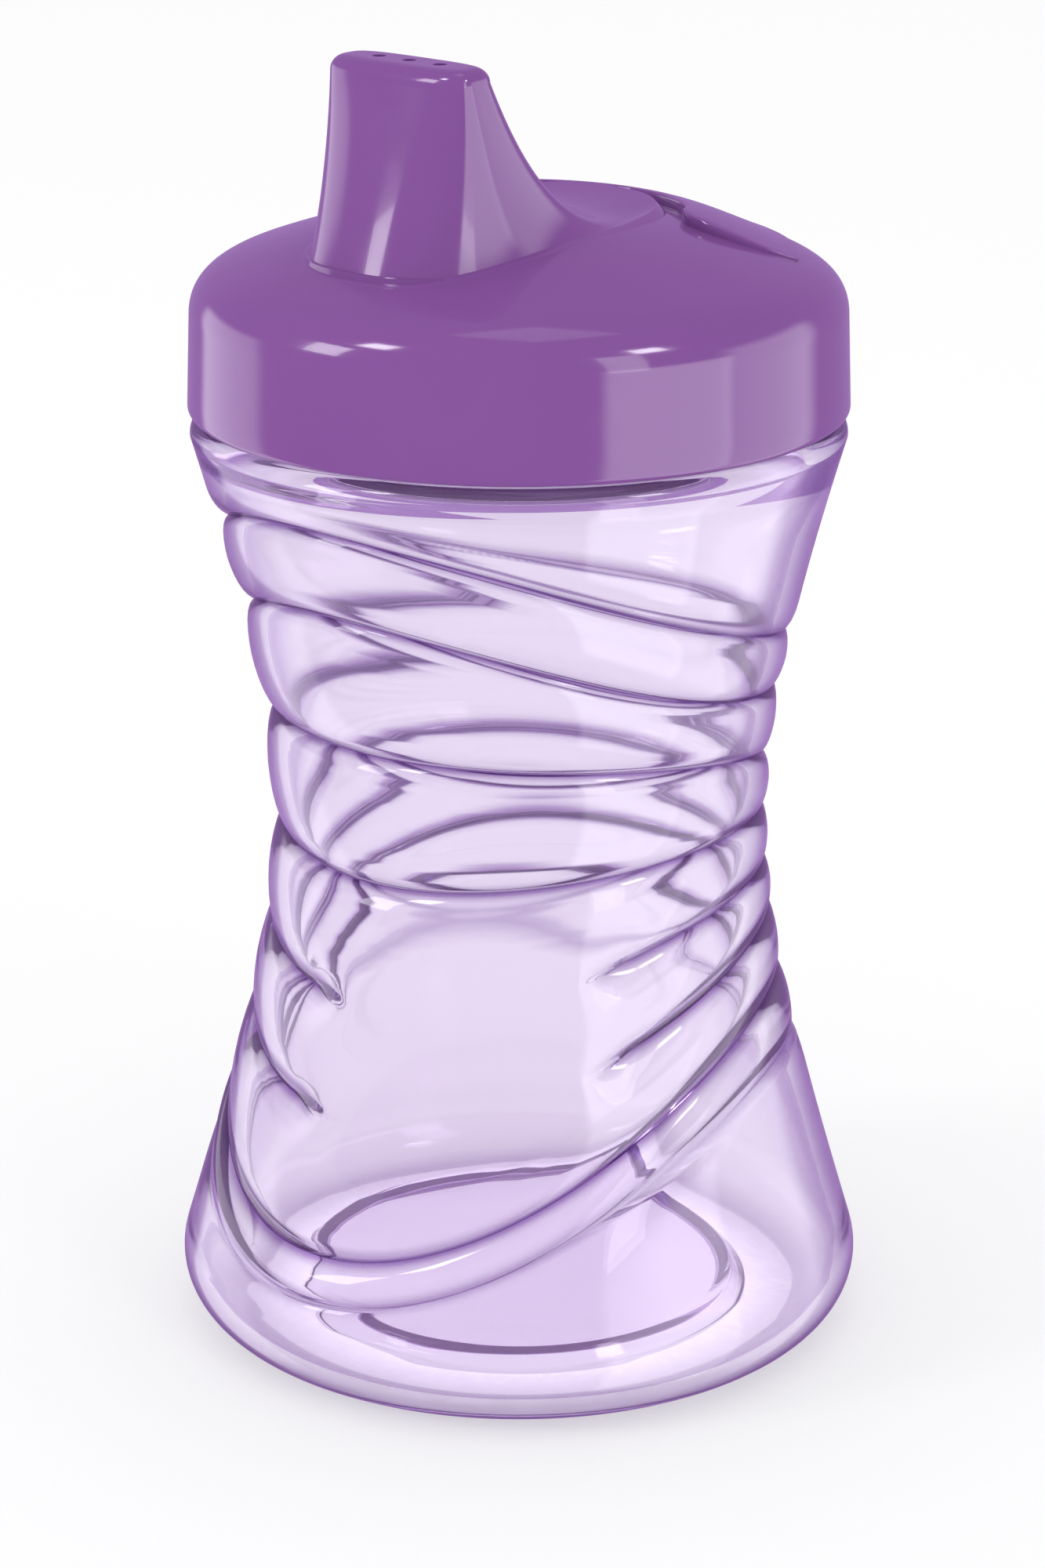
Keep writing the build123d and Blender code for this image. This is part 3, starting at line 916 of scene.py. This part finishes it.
    def wall_point(self, azimuth: float, number: int, share: float, inset: float) -> Point:
        """Returns a point of the grooved wall.

        Args:
            azimuth: Angle from the spout side towards +X, in radians.
            number: The groove below the point, or -1 for the foot of the cone.
            share: Share of the way to the next groove, or to the cone's top after the last.
            inset: How far the point is drawn in from the outside.

        Returns:
            The point.
        """
        low = self.cone_bottom if number < 0 else GRIP[number].height(azimuth)
        topmost = number == len(GRIP) - 1
        high = self.cone_top if topmost else GRIP[number + 1].height(azimuth)
        height = blend(low, high, share)
        return round_point(self.radius(azimuth, height) - inset, azimuth, height)

    def grooved_rings(self, inset: float, fine: int) -> list[Ring]:
        """Returns the rings of the grooved wall from bottom to top.

        Args:
            inset: How far the wall is drawn in from the outside.
            fine: Number of rings from one groove to the next.

        Returns:
            The rings, crowded near the groove lines.
        """
        last = len(GRIP) - 1
        settings = [(-1, k / fine, inset) for k in range(fine)]
        settings += [(number, (1.0 - math.cos(math.pi * k / fine)) / 2.0, inset)
                     for number in range(last) for k in range(fine)]
        settings += [(last, (k / fine) ** 1.5, inset) for k in range(fine + 1)]
        return free_rings(self.wall_point, settings)

    def thread_point(self, azimuth: float, height: float) -> Point:
        """Returns a point of the neck with the thread's ridges on it."""
        ridge = self.thread.height(azimuth, height, self.thread_first, self.thread_turn,
                                   self.thread_sweep)
        return round_point(self.neck_radius + ridge, azimuth, height)

    def underside(self) -> list[Ring]:
        """Returns the rings from the middle of the underside to the heel."""
        edge = self.push_up_radius
        outline = [(0.0, self.push_up_height), (edge * 0.5, self.push_up_height)]
        e, r = self.recess_round, self.ring_round
        outline += arc((edge - 3.2, self.push_up_height - e), e, 90.0, 20.0, 5)
        outline += arc((edge + 0.4, r), r, 180.0, 270.0, 4)
        centre = (self.base_radius - self.heel_fillet, self.heel_fillet)
        outline += line((edge + 2.0, 0.0), (centre[0], 0.0), 3)
        outline += arc(centre, self.heel_fillet, -90.0, self.heel_angle, 16)[:-1]
        return round_rings(outline)

    def neck(self) -> list[Ring]:
        """Returns the rings from the shoulder over the rim to the inside of the shoulder."""
        centre = (self.shoulder_radius - self.shoulder_round, self.cone_top)
        rings = round_rings(arc(centre, self.shoulder_round, 0.0, 90.0, 8)[1:])
        root = self.neck_root
        rings += round_rings(arc((self.neck_radius + root, self.shoulder_height + root), root,
                                 270.0, 180.0, 5))
        bottom = self.shoulder_height + root + 0.2
        top = self.rim_height - self.neck_wall / 2.0 - 0.3
        steps = 44
        heights = [(blend(bottom, top, k / steps),) for k in range(steps)]
        rings += free_rings(self.thread_point, heights)
        rim = (self.neck_radius - self.neck_wall / 2.0, self.rim_height - self.neck_wall / 2.0)
        rings += round_rings(arc(rim, self.neck_wall / 2.0, 0.0, 180.0, 12))
        bore = self.neck_radius - self.neck_wall
        inner = self.shoulder_radius - self.wall
        ease = self.inner_ease
        rings += round_rings(line((bore, rim[1] - 1.0), (bore, self.cone_top + ease), 8))
        rings += round_rings(arc((bore + ease, self.cone_top + ease), ease, 180.0, 270.0, 5))
        rings += round_rings(arc((inner - 2.0 * ease, self.cone_top - ease), ease, 90.0, 10.0, 5))
        return rings

    def floor(self) -> list[Ring]:
        """Returns the rings from the inside of the heel to the middle of the floor."""
        centre = (self.base_radius - self.heel_fillet, self.heel_fillet)
        outline = arc(centre, self.heel_fillet - self.wall, self.heel_angle, -90.0, 14)
        top = self.push_up_height + self.wall
        edge = self.push_up_radius
        outline += arc((edge + 1.0, self.wall + 0.8), 0.8, 270.0, 200.0, 4)
        outline += arc((edge - 1.9, top - self.floor_round), self.floor_round, 20.0, 90.0, 5)
        outline += [(edge * 0.5, top), (0.0, top)]
        return round_rings(outline)

    def rings(self) -> list[Ring]:
        """Returns every ring of the cup, from the underside's middle to the floor's."""
        inner = self.grooved_rings(self.wall, 10)
        inner_top = self.cone_top - 1.5 * self.inner_ease
        inner = [ring for ring in inner if max(ring.at(0.0)[2], ring.at(math.pi)[2]) < inner_top]
        outer = self.underside() + self.grooved_rings(0.0, 14) + self.neck()
        return outer + inner[::-1] + self.floor()

    def build(self) -> bpy.types.Object:
        """Builds and dresses the cup."""
        cup = ring_stack("clear_cup", self.rings(), self.columns)
        self.mark_painted_shade(cup)
        finish_piece(cup, self.finish.material(), Node.CUP, Group.CUP, 60.0)
        return cup


# ---- lid ----------------------------------------


@dataclass(frozen=True)
class Lid:
    """The one-piece lid: skirt, dome, spout in a dished collar, vent pad, sockets and thread."""

    radius: float
    bottom: float
    spout_top: float
    finish: GlossPlastic
    wall: float = 2.3
    edge_round: float = 0.8
    skirt_top: float = 120.5
    skirt_draft: float = 0.4
    shoulder_reach: float = 3.0
    shoulder_drop: float = 3.4
    shoulder_tuck: float = 0.1
    crown_radius: float = 91.0
    crown_edge_radius: float = 31.4
    crown_edge_height: float = 126.6
    land_height: float = 123.3
    land_radius: float = 30.6
    ceiling: float = 127.9
    collar_half_width: float = 14.8
    collar_half_length: float = 22.5
    collar_centre: float = -5.5
    collar_squareness: float = 2.6
    rim_rise: float = 1.2
    rim_front_rise: float = 0.12
    rim_start: float = 100.0
    rim_ramp: float = 65.0
    rim_width: float = 1.0
    dish_depth: float = 1.9
    dish_start: float = 12.0
    spout_half_width: float = 10.2
    spout_half_depth: float = 3.8
    spout_centre: float = -17.5
    spout_squareness: float = 3.4
    spout_round: float = 1.7
    spout_wall: float = 2.0
    spout_floor: float = 127.6
    channel_half_width: float = 10.4
    channel_front: float = -23.4
    channel_back: float = -11.5
    hole_diameter: float = 1.5
    hole_pitch: float = 4.45
    socket_bore: float = 11.0
    socket_wall: float = 1.6
    socket_bottom: float = 117.5
    vent_centre: float = 18.5
    pad_rise: float = 1.3
    pad_outer_rise: float = 0.35
    pad_fall_start: float = 20.0
    pad_fall: float = 11.0
    pad_radius: float = 31.2
    pad_inner: tuple[tuple[float, float], ...] = (
        (0.0, 19.3), (4.6, 18.5), (8.7, 16.7), (11.7, 14.7), (13.3, 12.4), (15.6, 10.9),
        (18.6, 11.0), (21.6, 12.3), (24.2, 14.5), (26.2, 16.95))
    air_diameter: float = 1.2
    air_pitch: float = 2.0
    air_offset: float = 2.0
    overshoot: float = 1.0
    slab_bottom: float = 125.4
    slab_inset: float = 0.6
    thread: Thread = Thread()
    thread_first: float = 113.35
    thread_turn: float = 20.0
    thread_sweep: float = 170.0
    columns: int = 320

    @property
    def crown_top(self) -> float:
        """Height of the dome's middle."""
        drop = math.sqrt(self.crown_radius ** 2 - self.crown_edge_radius ** 2)
        return self.crown_edge_height + self.crown_radius - drop

    def dome(self, distance: float, offset: float = 0.0) -> float:
        """Returns the dome's height at a distance from the axis, for a copy raised by an offset."""
        sphere = self.crown_radius + offset
        return self.crown_top - self.crown_radius + math.sqrt(sphere ** 2 - distance ** 2)

    def foot(self, azimuth: float, inset: float) -> tuple[float, float]:
        """Returns a point of the collar's outline, drawn in by an inset."""
        return squared_oval(self.collar_half_width - inset, self.collar_half_length - inset,
                            self.collar_centre, self.collar_squareness, azimuth)

    def tip(self, azimuth: float, inset: float) -> tuple[float, float]:
        """Returns a point of the spout tip's outline, drawn in by an inset."""
        return squared_oval(self.spout_half_width - inset, self.spout_half_depth - inset,
                            self.spout_centre, self.spout_squareness, azimuth)

    def rim_lift(self, azimuth: float) -> float:
        """Returns how far the collar's rim stands over the dome: it rises towards the rear."""
        away = abs(math.degrees(math.atan2(math.sin(azimuth), math.cos(azimuth))))
        rear = smooth_step((away - self.rim_start) / self.rim_ramp)
        return blend(self.rim_front_rise, self.rim_rise, rear)

    def slope_point(self, azimuth: float, share: float) -> Point:
        """Returns a point on the slope from the spout's tip to the rim of the collar.

        Args:
            azimuth: Angle from the spout side towards +X, in radians.
            share: 0 at the tip, 1 at the rim.

        Returns:
            The point.
        """
        tip = self.tip(azimuth, 0.0)
        rim = self.foot(azimuth, self.rim_width)
        run = math.dist(tip, rim)
        rear = smooth_step((1.0 - math.cos(azimuth)) / 2.0)
        high = self.spout_top - self.spout_round
        rim_level = self.dome(math.hypot(*rim)) + self.rim_lift(azimuth)
        low = rim_level - rear * self.dish_depth
        first = (0.33 - 0.10 * rear, blend(high, low, 0.36 + 0.30 * rear))
        second_run = blend(0.62, min(self.dish_start / run, 0.62), rear)
        second = (second_run, blend(high, low, 0.72 + 0.34 * rear))
        along, height = bezier(((0.0, high), first, second, (1.0, rim_level)), share)
        return blend(tip[0], rim[0], along), blend(tip[1], rim[1], along), height

    def tip_rings(self) -> list[Ring]:
        """Returns the rings over the flat top of the spout and round its edge."""

        def top(azimuth: float, share: float) -> Point:
            """Returns a point of the flat top, 0 in its middle and 1 at its edge."""
            x, y = self.tip(azimuth, self.spout_round)
            return x * share, blend(self.spout_centre, y, share), self.spout_top

        def edge(azimuth: float, angle: float) -> Point:
            """Returns a point of the rounded edge, from upright to level."""
            inset = self.spout_round * (1.0 - math.cos(angle))
            height = self.spout_top - self.spout_round * (1.0 - math.sin(angle))
            return (*self.tip(azimuth, inset), height)

        turns = [(math.pi / 2.0 * (1.0 - k / 8.0),) for k in range(9)]
        return free_rings(top, [(0.0,), (0.35,), (0.7,)]) + free_rings(edge, turns)

    def collar_rings(self) -> list[Ring]:
        """Returns the rings down the spout, over the dish and down the collar to the dome."""

        def side(azimuth: float, share: float) -> Point:
            """Returns a point down the collar's side, 0 at its rim and 1 on the dome."""
            x, y = self.foot(azimuth, self.rim_width * (1.0 - share))
            lift = self.rim_lift(azimuth) * (1.0 - share) ** 0.8
            return x, y, self.dome(math.hypot(x, y)) + lift

        steps = 48
        slope = free_rings(self.slope_point, [(k / steps,) for k in range(1, steps + 1)])
        return slope + free_rings(side, [(0.3,), (0.6,), (0.85,), (0.96,), (1.0,)])

    def dome_rings(self) -> list[Ring]:
        """Returns the rings over the dome, from the collar's foot to the shoulder."""

        def place(azimuth: float, share: float) -> Point:
            """Returns a point of the dome, 0 at the collar's foot and 1 at the shoulder."""
            foot = self.foot(azimuth, 0.0)
            edge = (self.crown_edge_radius * math.sin(azimuth),
                    -self.crown_edge_radius * math.cos(azimuth))
            x, y = blend(foot[0], edge[0], share), blend(foot[1], edge[1], share)
            return x, y, self.dome(math.hypot(x, y))

        shares = [(0.01,), (0.03,), (0.07,)] + [(k / 16,) for k in range(2, 17)]
        return free_rings(place, shares)

    def skirt_rings(self) -> list[Ring]:
        """Returns the rings from the shoulder down the skirt and round its lower edge."""
        edge_x, edge_z = self.crown_edge_radius, self.crown_edge_height
        slope = edge_x / math.sqrt(self.crown_radius ** 2 - edge_x ** 2)
        top_x = self.radius - self.skirt_draft
        reach = self.shoulder_reach
        marks = ((edge_x, edge_z), (edge_x + reach, edge_z - reach * slope),
                 (top_x - self.shoulder_tuck, self.skirt_top + self.shoulder_drop),
                 (top_x, self.skirt_top))
        outline = [bezier(marks, k / 24) for k in range(1, 24)]
        corner = (self.radius - self.edge_round, self.bottom + self.edge_round)
        outline += line((top_x, self.skirt_top), (self.radius, corner[1]), 6)
        outline += arc(corner, self.edge_round, 0.0, -90.0, 6)
        return round_rings(outline)

    def bore_point(self, azimuth: float, height: float) -> Point:
        """Returns a point of the lid's bore with the thread's ridges on it."""
        ridge = self.thread.height(azimuth, height, self.thread_first, self.thread_turn,
                                   self.thread_sweep)
        return round_point(self.radius - self.wall - ridge, azimuth, height)

    def inner_rings(self) -> list[Ring]:
        """Returns the rings up the bore, over the seal's land and across the ceiling."""
        bore = self.radius - self.wall
        ease = 0.5
        rings = round_rings(arc((bore + ease, self.bottom + ease), ease, 270.0, 180.0, 4))
        low, high, steps = self.bottom + 1.2, self.land_height - 2.0, 60
        heights = [(blend(low, high, k / steps),) for k in range(steps + 1)]
        rings += free_rings(self.bore_point, heights)
        outline = arc((bore - ease, self.land_height - ease), ease, 0.0, 90.0, 4)
        outline += arc((self.land_radius + 0.3, self.land_height + 0.3), 0.3, 270.0, 180.0, 3)
        for k in range(16):
            distance = blend(self.land_radius, 0.0, k / 16)
            outline.append((distance, min(self.dome(distance, -self.wall), self.ceiling)))
        outline.append((0.0, self.ceiling))
        return round_rings(outline)

    def hollow(self) -> bpy.types.Object:
        """Returns the drink channel inside the spout as a solid to cut out."""
        centre = (self.channel_front + self.channel_back) / 2.0
        depth = (self.channel_back - self.channel_front) / 2.0
        roof = self.spout_top - self.spout_wall

        def place(azimuth: float, share: float, scale: float) -> Point:
            """Returns a point of the channel, by its share of the height and of the width."""
            x0, y0 = squared_oval(self.channel_half_width, depth, centre, 2.0, azimuth)
            x1, y1 = self.tip(azimuth, self.spout_wall)
            middle = blend(centre, self.spout_centre, share)
            x, y = blend(x0, x1, share), blend(y0, y1, share)
            return x * scale, blend(middle, y, scale), blend(self.spout_floor, roof, share)

        levels = [(0.0, 0.0)] + [(k / 12, 1.0) for k in range(13)] + [(1.0, 0.0)]
        return ring_stack("spout_hollow", free_rings(place, levels), 96)

    def pad_edges(self, turn: float) -> tuple[tuple[float, float], tuple[float, float]]:
        """Returns a point of the vent pad's outline and the one on its middle line.

        Args:
            turn: Share of the way round: the outer edge from the left end to the right in the
                first half, the inner edge back again in the second.

        Returns:
            X and Y of both.
        """
        across = 2.0 * turn if turn < 0.5 else 2.0 - 2.0 * turn
        end = self.pad_inner[-1]
        angle = blend(math.atan2(end[1], -end[0]), math.atan2(end[1], end[0]), across)
        outer = (self.pad_radius * math.cos(angle), self.pad_radius * math.sin(angle))
        x, y = curve_through(self.pad_inner, abs(2.0 * across - 1.0))
        inner = (math.copysign(x, across - 0.5), y)
        middle = ((outer[0] + inner[0]) / 2.0, (outer[1] + inner[1]) / 2.0)
        return (outer if turn < 0.5 else inner), middle

    def pad(self) -> bpy.types.Object:
        """Returns the raised crescent that the air holes open through."""

        def place(azimuth: float, share: float, lift: float, drop: float) -> Point:
            """Returns a point of the pad.

            Args:
                azimuth: Place along its outline, as an angle.
                share: Share of the way from the outline to the middle line.
                lift: Share of the pad's rise over the dome.
                drop: Depth under that level.

            Returns:
                The point.
            """
            edge, middle = self.pad_edges((azimuth / math.tau) % 1.0)
            x, y = blend(edge[0], middle[0], share), blend(edge[1], middle[1], share)
            distance = math.hypot(x, y)
            outward = smooth_step((distance - self.pad_fall_start) / self.pad_fall)
            rise = blend(self.pad_rise, self.pad_outer_rise, outward)
            return x, y, self.dome(distance) + rise * lift - drop

        levels = [(1.0, 0.0, 1.0), (0.5, 0.0, 1.0), (0.0, 0.0, 1.0), (0.0, 0.0, 0.0),
                  (0.0, 0.35, 0.0), (0.0, 0.7, 0.0), (0.02, 0.88, 0.0), (0.06, 0.97, 0.0),
                  (0.12, 1.0, 0.0)]
        levels += [(share, 1.0, 0.0) for share in (0.3, 0.5, 0.7, 0.85, 1.0)]
        return ring_stack("vent_pad", free_rings(place, levels), 160)

    def slab(self) -> bpy.types.Object:
        """Returns the thick floor under the spout and the dish."""

        def place(azimuth: float, height: float, scale: float) -> Point:
            """Returns a point of the floor's outline, scaled about the collar's centre."""
            x, y = self.foot(azimuth, self.slab_inset)
            return x * scale, blend(self.collar_centre, y, scale), height

        top = self.ceiling + 0.8
        levels = ((self.slab_bottom, 0.0), (self.slab_bottom, 1.0), (top, 1.0), (top, 0.0))
        return ring_stack("collar_slab", free_rings(place, levels), 96)

    def sockets(self) -> bpy.types.Object:
        """Returns both valve sockets, solid, as one mesh."""
        outer = self.socket_bore / 2.0 + self.socket_wall
        tubes = []
        for centre in (self.spout_centre, self.vent_centre):
            root = self.dome(abs(centre) + outer) - self.wall / 3.0
            tubes.append(upright("socket", outer, (0.0, centre, self.socket_bottom), root, 0.3))
        return joined(tubes)

    def bores(self) -> bpy.types.Object:
        """Returns the sockets' bores, the drinking holes and the air holes as one mesh."""
        roof = self.dome(self.vent_centre + self.socket_bore / 2.0) - self.wall
        tops = ((self.spout_centre, self.spout_floor - 0.2), (self.vent_centre, roof + 0.5))
        over = self.overshoot
        bottom = self.socket_bottom - over
        bars = [upright("bore", self.socket_bore / 2.0, (0.0, centre, bottom), top)
                for centre, top in tops]
        roof_inside = self.spout_top - self.spout_wall + 0.3
        for step in (-1, 0, 1):
            place = (step * self.hole_pitch, self.spout_centre, roof_inside)
            above = self.spout_top + over
            bars.append(upright("drink_hole", self.hole_diameter / 2.0, place, above))
        for step in (-2, -1, 0, 1, 2):
            place = (step * self.air_pitch, self.vent_centre + self.air_offset, roof + 0.7)
            bars.append(upright("air_hole", self.air_diameter / 2.0, place, self.crown_top + over))
        return joined(bars)

    def build(self) -> bpy.types.Object:
        """Builds and dresses the lid."""
        rings = (self.tip_rings() + self.collar_rings() + self.dome_rings() + self.skirt_rings()
                 + self.inner_rings())
        lid = ring_stack("lid_moulding", rings, self.columns)
        for addition in (self.slab, self.sockets, self.pad):
            combine(lid, addition(), Join.ADD)
        for opening in (self.hollow, self.bores):
            combine(lid, opening(), Join.CUT)
        tidy_surface(lid)
        finish_piece(lid, self.finish.material(), Node.LID, Group.LID, 40.0)
        return lid


# ---- seal and valve ----------------------------------------


@dataclass(frozen=True)
class SealRing:
    """The soft ring between the cup's rim and the lid."""

    outer: float
    bottom: float
    top: float
    finish: Silicone
    inner: float = 29.7
    flange: float = 1.6
    lip: float = 0.8
    ease: float = 0.3
    columns: int = 192

    def build(self) -> bpy.types.Object:
        """Builds and dresses the ring."""
        e = self.ease
        lip_outer = self.inner + self.lip
        step = self.top - self.flange
        outline = arc((self.inner + e, self.bottom + e), e, 180.0, 270.0, 4)
        outline += arc((lip_outer - e, self.bottom + e), e, 270.0, 360.0, 4)
        outline += arc((lip_outer + e, step - e), e, 180.0, 90.0, 4)
        outline += arc((self.outer - e, step + e), e, 270.0, 360.0, 4)
        outline += arc((self.outer - e, self.top - e), e, 0.0, 90.0, 4)
        outline += arc((self.inner + e, self.top - e), e, 90.0, 180.0, 4)
        outline.append(outline[0])
        ring = ring_stack("seal_ring", round_rings(outline), self.columns)
        finish_piece(ring, self.finish.material(), Node.SEAL, Group.SEAL, 50.0)
        return ring


@dataclass(frozen=True)
class Valve:
    """The one-piece soft valve: two slit cups and the strap between them."""

    bottom: float
    top: float
    half_width: float
    front: float
    back: float
    finish: Silicone
    wall: float = 1.3
    floor: float = 1.2
    ease: float = 0.4
    strap_width: float = 6.0
    strap_thickness: float = 1.5
    slit_length: float = 6.0
    slit_width: float = 0.35

    def cup(self, centre: float) -> bpy.types.Object:
        """Returns one of the cups that push onto the lid's sockets."""
        outer, e = self.half_width, self.ease
        inner = outer - self.wall
        floor_top = self.bottom + self.floor
        outline: Outline = [(0.0, self.bottom), (outer * 0.5, self.bottom)]
        outline += arc((outer - e, self.bottom + e), e, 270.0, 360.0, 4)
        outline += arc((outer - e, self.top - e), e, 0.0, 90.0, 4)
        outline += arc((inner + e, self.top - e), e, 90.0, 180.0, 4)
        outline += [(inner, floor_top + 0.1), (inner - 0.1, floor_top), (inner * 0.5, floor_top)]
        outline.append((0.0, floor_top))
        return ring_stack("valve_cup", round_rings(outline, centre), 96)

    def strap(self) -> bpy.types.Object:
        """Returns the bridge between the cups."""
        front, back = self.front + self.half_width, self.back - self.half_width
        size = (self.strap_width, back - front, self.strap_thickness)
        centre = (0.0, (front + back) / 2.0, self.bottom + self.strap_thickness / 2.0)
        return block("valve_strap", size, centre, self.ease)

    def slit(self, centre: float, turned: bool) -> bpy.types.Object:
        """Returns the blade that cuts one slit, along X or turned along Y."""
        across, along = self.slit_length, self.slit_width
        if turned:
            across, along = along, across
        size = (across, along, self.floor * 4.0)
        return block("slit_blade", size, (0.0, centre, self.bottom))

    def build(self) -> bpy.types.Object:
        """Builds and dresses the valve."""
        spout_end, vent_end = self.front + self.half_width, self.back - self.half_width
        valve = self.cup(spout_end)
        valve.name = "valve_moulding"
        combine(valve, self.cup(vent_end), Join.ADD)
        strap = self.strap()
        for centre in (spout_end, vent_end):
            combine(strap, self.socket_space(centre), Join.CUT)
        combine(valve, strap, Join.ADD)
        for centre, turned in ((spout_end, False), (spout_end, True), (vent_end, False)):
            combine(valve, self.slit(centre, turned), Join.CUT)
        tidy_surface(valve)
        finish_piece(valve, self.finish.material(), Node.VALVE, Group.VALVE, 35.0)
        return valve

    def socket_space(self, centre: float) -> bpy.types.Object:
        """Returns the room of one socket over a cup's floor."""
        inner = self.half_width - self.wall
        return upright("socket_space", inner, (0.0, centre, self.bottom + self.floor), self.top)


# ---- studio ----------------------------------------


@dataclass(frozen=True)
class Softbox:
    """A rectangular soft light aimed at the middle of the cup."""

    name: str
    place: Point
    size: tuple[float, float]
    power: float

    def build(self, target: Vector) -> None:
        """Adds the light."""
        deselect_all()
        bpy.ops.object.light_add(type="AREA", location=self.place)
        lamp = bpy.context.object
        lamp.name = self.name
        lamp.data.shape = "RECTANGLE"
        lamp.data.size, lamp.data.size_y = self.size
        lamp.data.energy = self.power
        aim = target - Vector(self.place)
        lamp.rotation_euler = aim.to_track_quat("-Z", "Y").to_euler()


@dataclass(frozen=True)
class Card:
    """A bright card round the set, as its gloss reflections show it.

    Azimuths run from the spout side (-Y) towards +X, in degrees; heights are sines of the
    elevation.
    """

    azimuth: float
    half_width: float
    low: float
    high: float
    strength: float
    softness: float

    def light(self, tree: Tree, sight: bpy.types.Node) -> Socket:
        """Returns the card's light along the line of sight.

        Args:
            tree: Node tree to add to.
            sight: Separated direction of the line of sight.

        Returns:
            The socket with its light.
        """
        turn = math.radians(self.azimuth)
        x, y, z = (sight.outputs[axis] for axis in "XYZ")
        ahead = math_node(tree, "ADD", math_node(tree, "MULTIPLY", x, math.sin(turn)),
                          math_node(tree, "MULTIPLY", y, -math.cos(turn)))
        aside = math_node(tree, "ADD", math_node(tree, "MULTIPLY", x, math.cos(turn)),
                          math_node(tree, "MULTIPLY", y, math.sin(turn)))
        off = math_node(tree, "ABSOLUTE", math_node(tree, "ARCTAN2", aside, ahead))
        edge, soft = math.radians(self.half_width), math.radians(self.softness)
        across = map_range(tree, off, (edge + soft, edge - soft))
        above = map_range(tree, z, (self.low - soft, self.low + soft))
        below = map_range(tree, z, (self.high + soft, self.high - soft))
        inside = math_node(tree, "MULTIPLY", across, math_node(tree, "MULTIPLY", above, below))
        return math_node(tree, "MULTIPLY", inside, self.strength)


CARDS = (
    Card(95.0, 24.0, -0.75, 0.10, 2.2, 2.5),
    Card(140.0, 22.0, -0.75, 0.30, 1.4, 6.0),
    Card(-78.0, 20.0, -0.75, 0.15, 1.1, 4.0),
    Card(-20.0, 7.0, 0.66, 0.78, 12.0, 1.5),
    Card(95.0, 7.0, 0.60, 0.72, 12.0, 1.5),
)


SOFTBOXES = (
    Softbox("key_left", (-0.55, -0.95, 0.60), (0.30, 0.40), 2.2),
    Softbox("fill_right", (1.25, -0.25, 0.55), (0.35, 0.8), 2.0),
    Softbox("top", (0.0, 0.1, 1.4), (0.5, 0.5), 0.5),
)


@dataclass(frozen=True)
class Studio:
    """Floor, surrounding light, softboxes and camera."""

    azimuth: float = 42.0
    distance: float = 0.4651
    height: float = 0.2216
    pitch: float = 18.7
    lens: float = 97.0
    shift: float = 0.00225
    surround: float = 0.9
    glow: Colour = (0.38, 0.22, 0.52)
    middle: Point = (0.0, 0.0, 0.08)
    floor_radius: float = 3.0

    def floor(self) -> None:
        """Adds the pale floor."""
        deselect_all()
        bpy.ops.mesh.primitive_circle_add(vertices=96, radius=self.floor_radius, fill_type="NGON")
        floor = bpy.context.object
        floor.name = "studio_floor"
        floor.data.materials.append(StudioPaint().material())
        floor.visible_glossy = False

    def surroundings(self) -> None:
        """Lights the cup from all round with an even white, and lets its gloss mirror the cards."""
        world = bpy.data.worlds.new("studio")
        bpy.context.scene.world = world
        world.use_nodes = True
        tree = world.node_tree
        background = next(n for n in tree.nodes if n.type == "BACKGROUND")
        sight = tree.nodes.new("ShaderNodeTexCoord")
        split = tree.nodes.new("ShaderNodeSeparateXYZ")
        tree.links.new(sight.outputs["Generated"], split.inputs["Vector"])
        cards: float | Socket = 0.0
        for card in CARDS:
            cards = math_node(tree, "ADD", cards, card.light(tree, split))
        mirrored = tree.nodes.new("ShaderNodeCombineColor")
        for channel, glow in zip(mirrored.inputs, self.glow):
            tree.links.new(math_node(tree, "ADD", cards, glow), channel)
        rays = tree.nodes.new("ShaderNodeLightPath")
        even = (self.surround, self.surround, self.surround)
        seen = mix_colours(tree, "MIX", rays.outputs["Is Glossy Ray"], even, mirrored.outputs[0])
        tree.links.new(seen, background.inputs["Color"])

    def camera(self) -> None:
        """Adds the camera."""
        turn = math.radians(self.azimuth)
        place = (self.distance * math.sin(turn), -self.distance * math.cos(turn), self.height)
        bpy.ops.object.camera_add(location=place,
                                  rotation=(math.radians(90.0 - self.pitch), 0.0, turn))
        camera = bpy.context.object
        camera.data.lens = self.lens
        camera.data.sensor_width = 36.0
        camera.data.shift_x = self.shift
        bpy.context.scene.camera = camera

    def build(self) -> None:
        """Builds the studio."""
        self.camera()
        self.floor()
        self.surroundings()
        for box in SOFTBOXES:
            box.build(Vector(self.middle))
        bpy.context.scene.view_settings.view_transform = "Standard"


def main() -> None:
    """Builds every piece around the frame."""
    logging.basicConfig(level=logging.INFO, format="%(name)s %(message)s")
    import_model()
    Studio().build()
    cup_box, lid_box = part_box(Node.CUP.value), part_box(Node.LID.value)
    seal_box, valve_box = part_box(Node.SEAL.value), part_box(Node.VALVE.value)
    CupBody(cup_box[1].x / MM, cup_box[1].z / MM, ClearPlastic()).build()
    Lid(lid_box[1].x / MM, lid_box[0].z / MM, lid_box[1].z / MM, GlossPlastic()).build()
    SealRing(seal_box[1].x / MM, seal_box[0].z / MM, seal_box[1].z / MM, MILKY).build()
    Valve(valve_box[0].z / MM, valve_box[1].z / MM, valve_box[1].x / MM, valve_box[0].y / MM,
          valve_box[1].y / MM, CLOUDY).build()


if __name__ == "__main__":
    main()
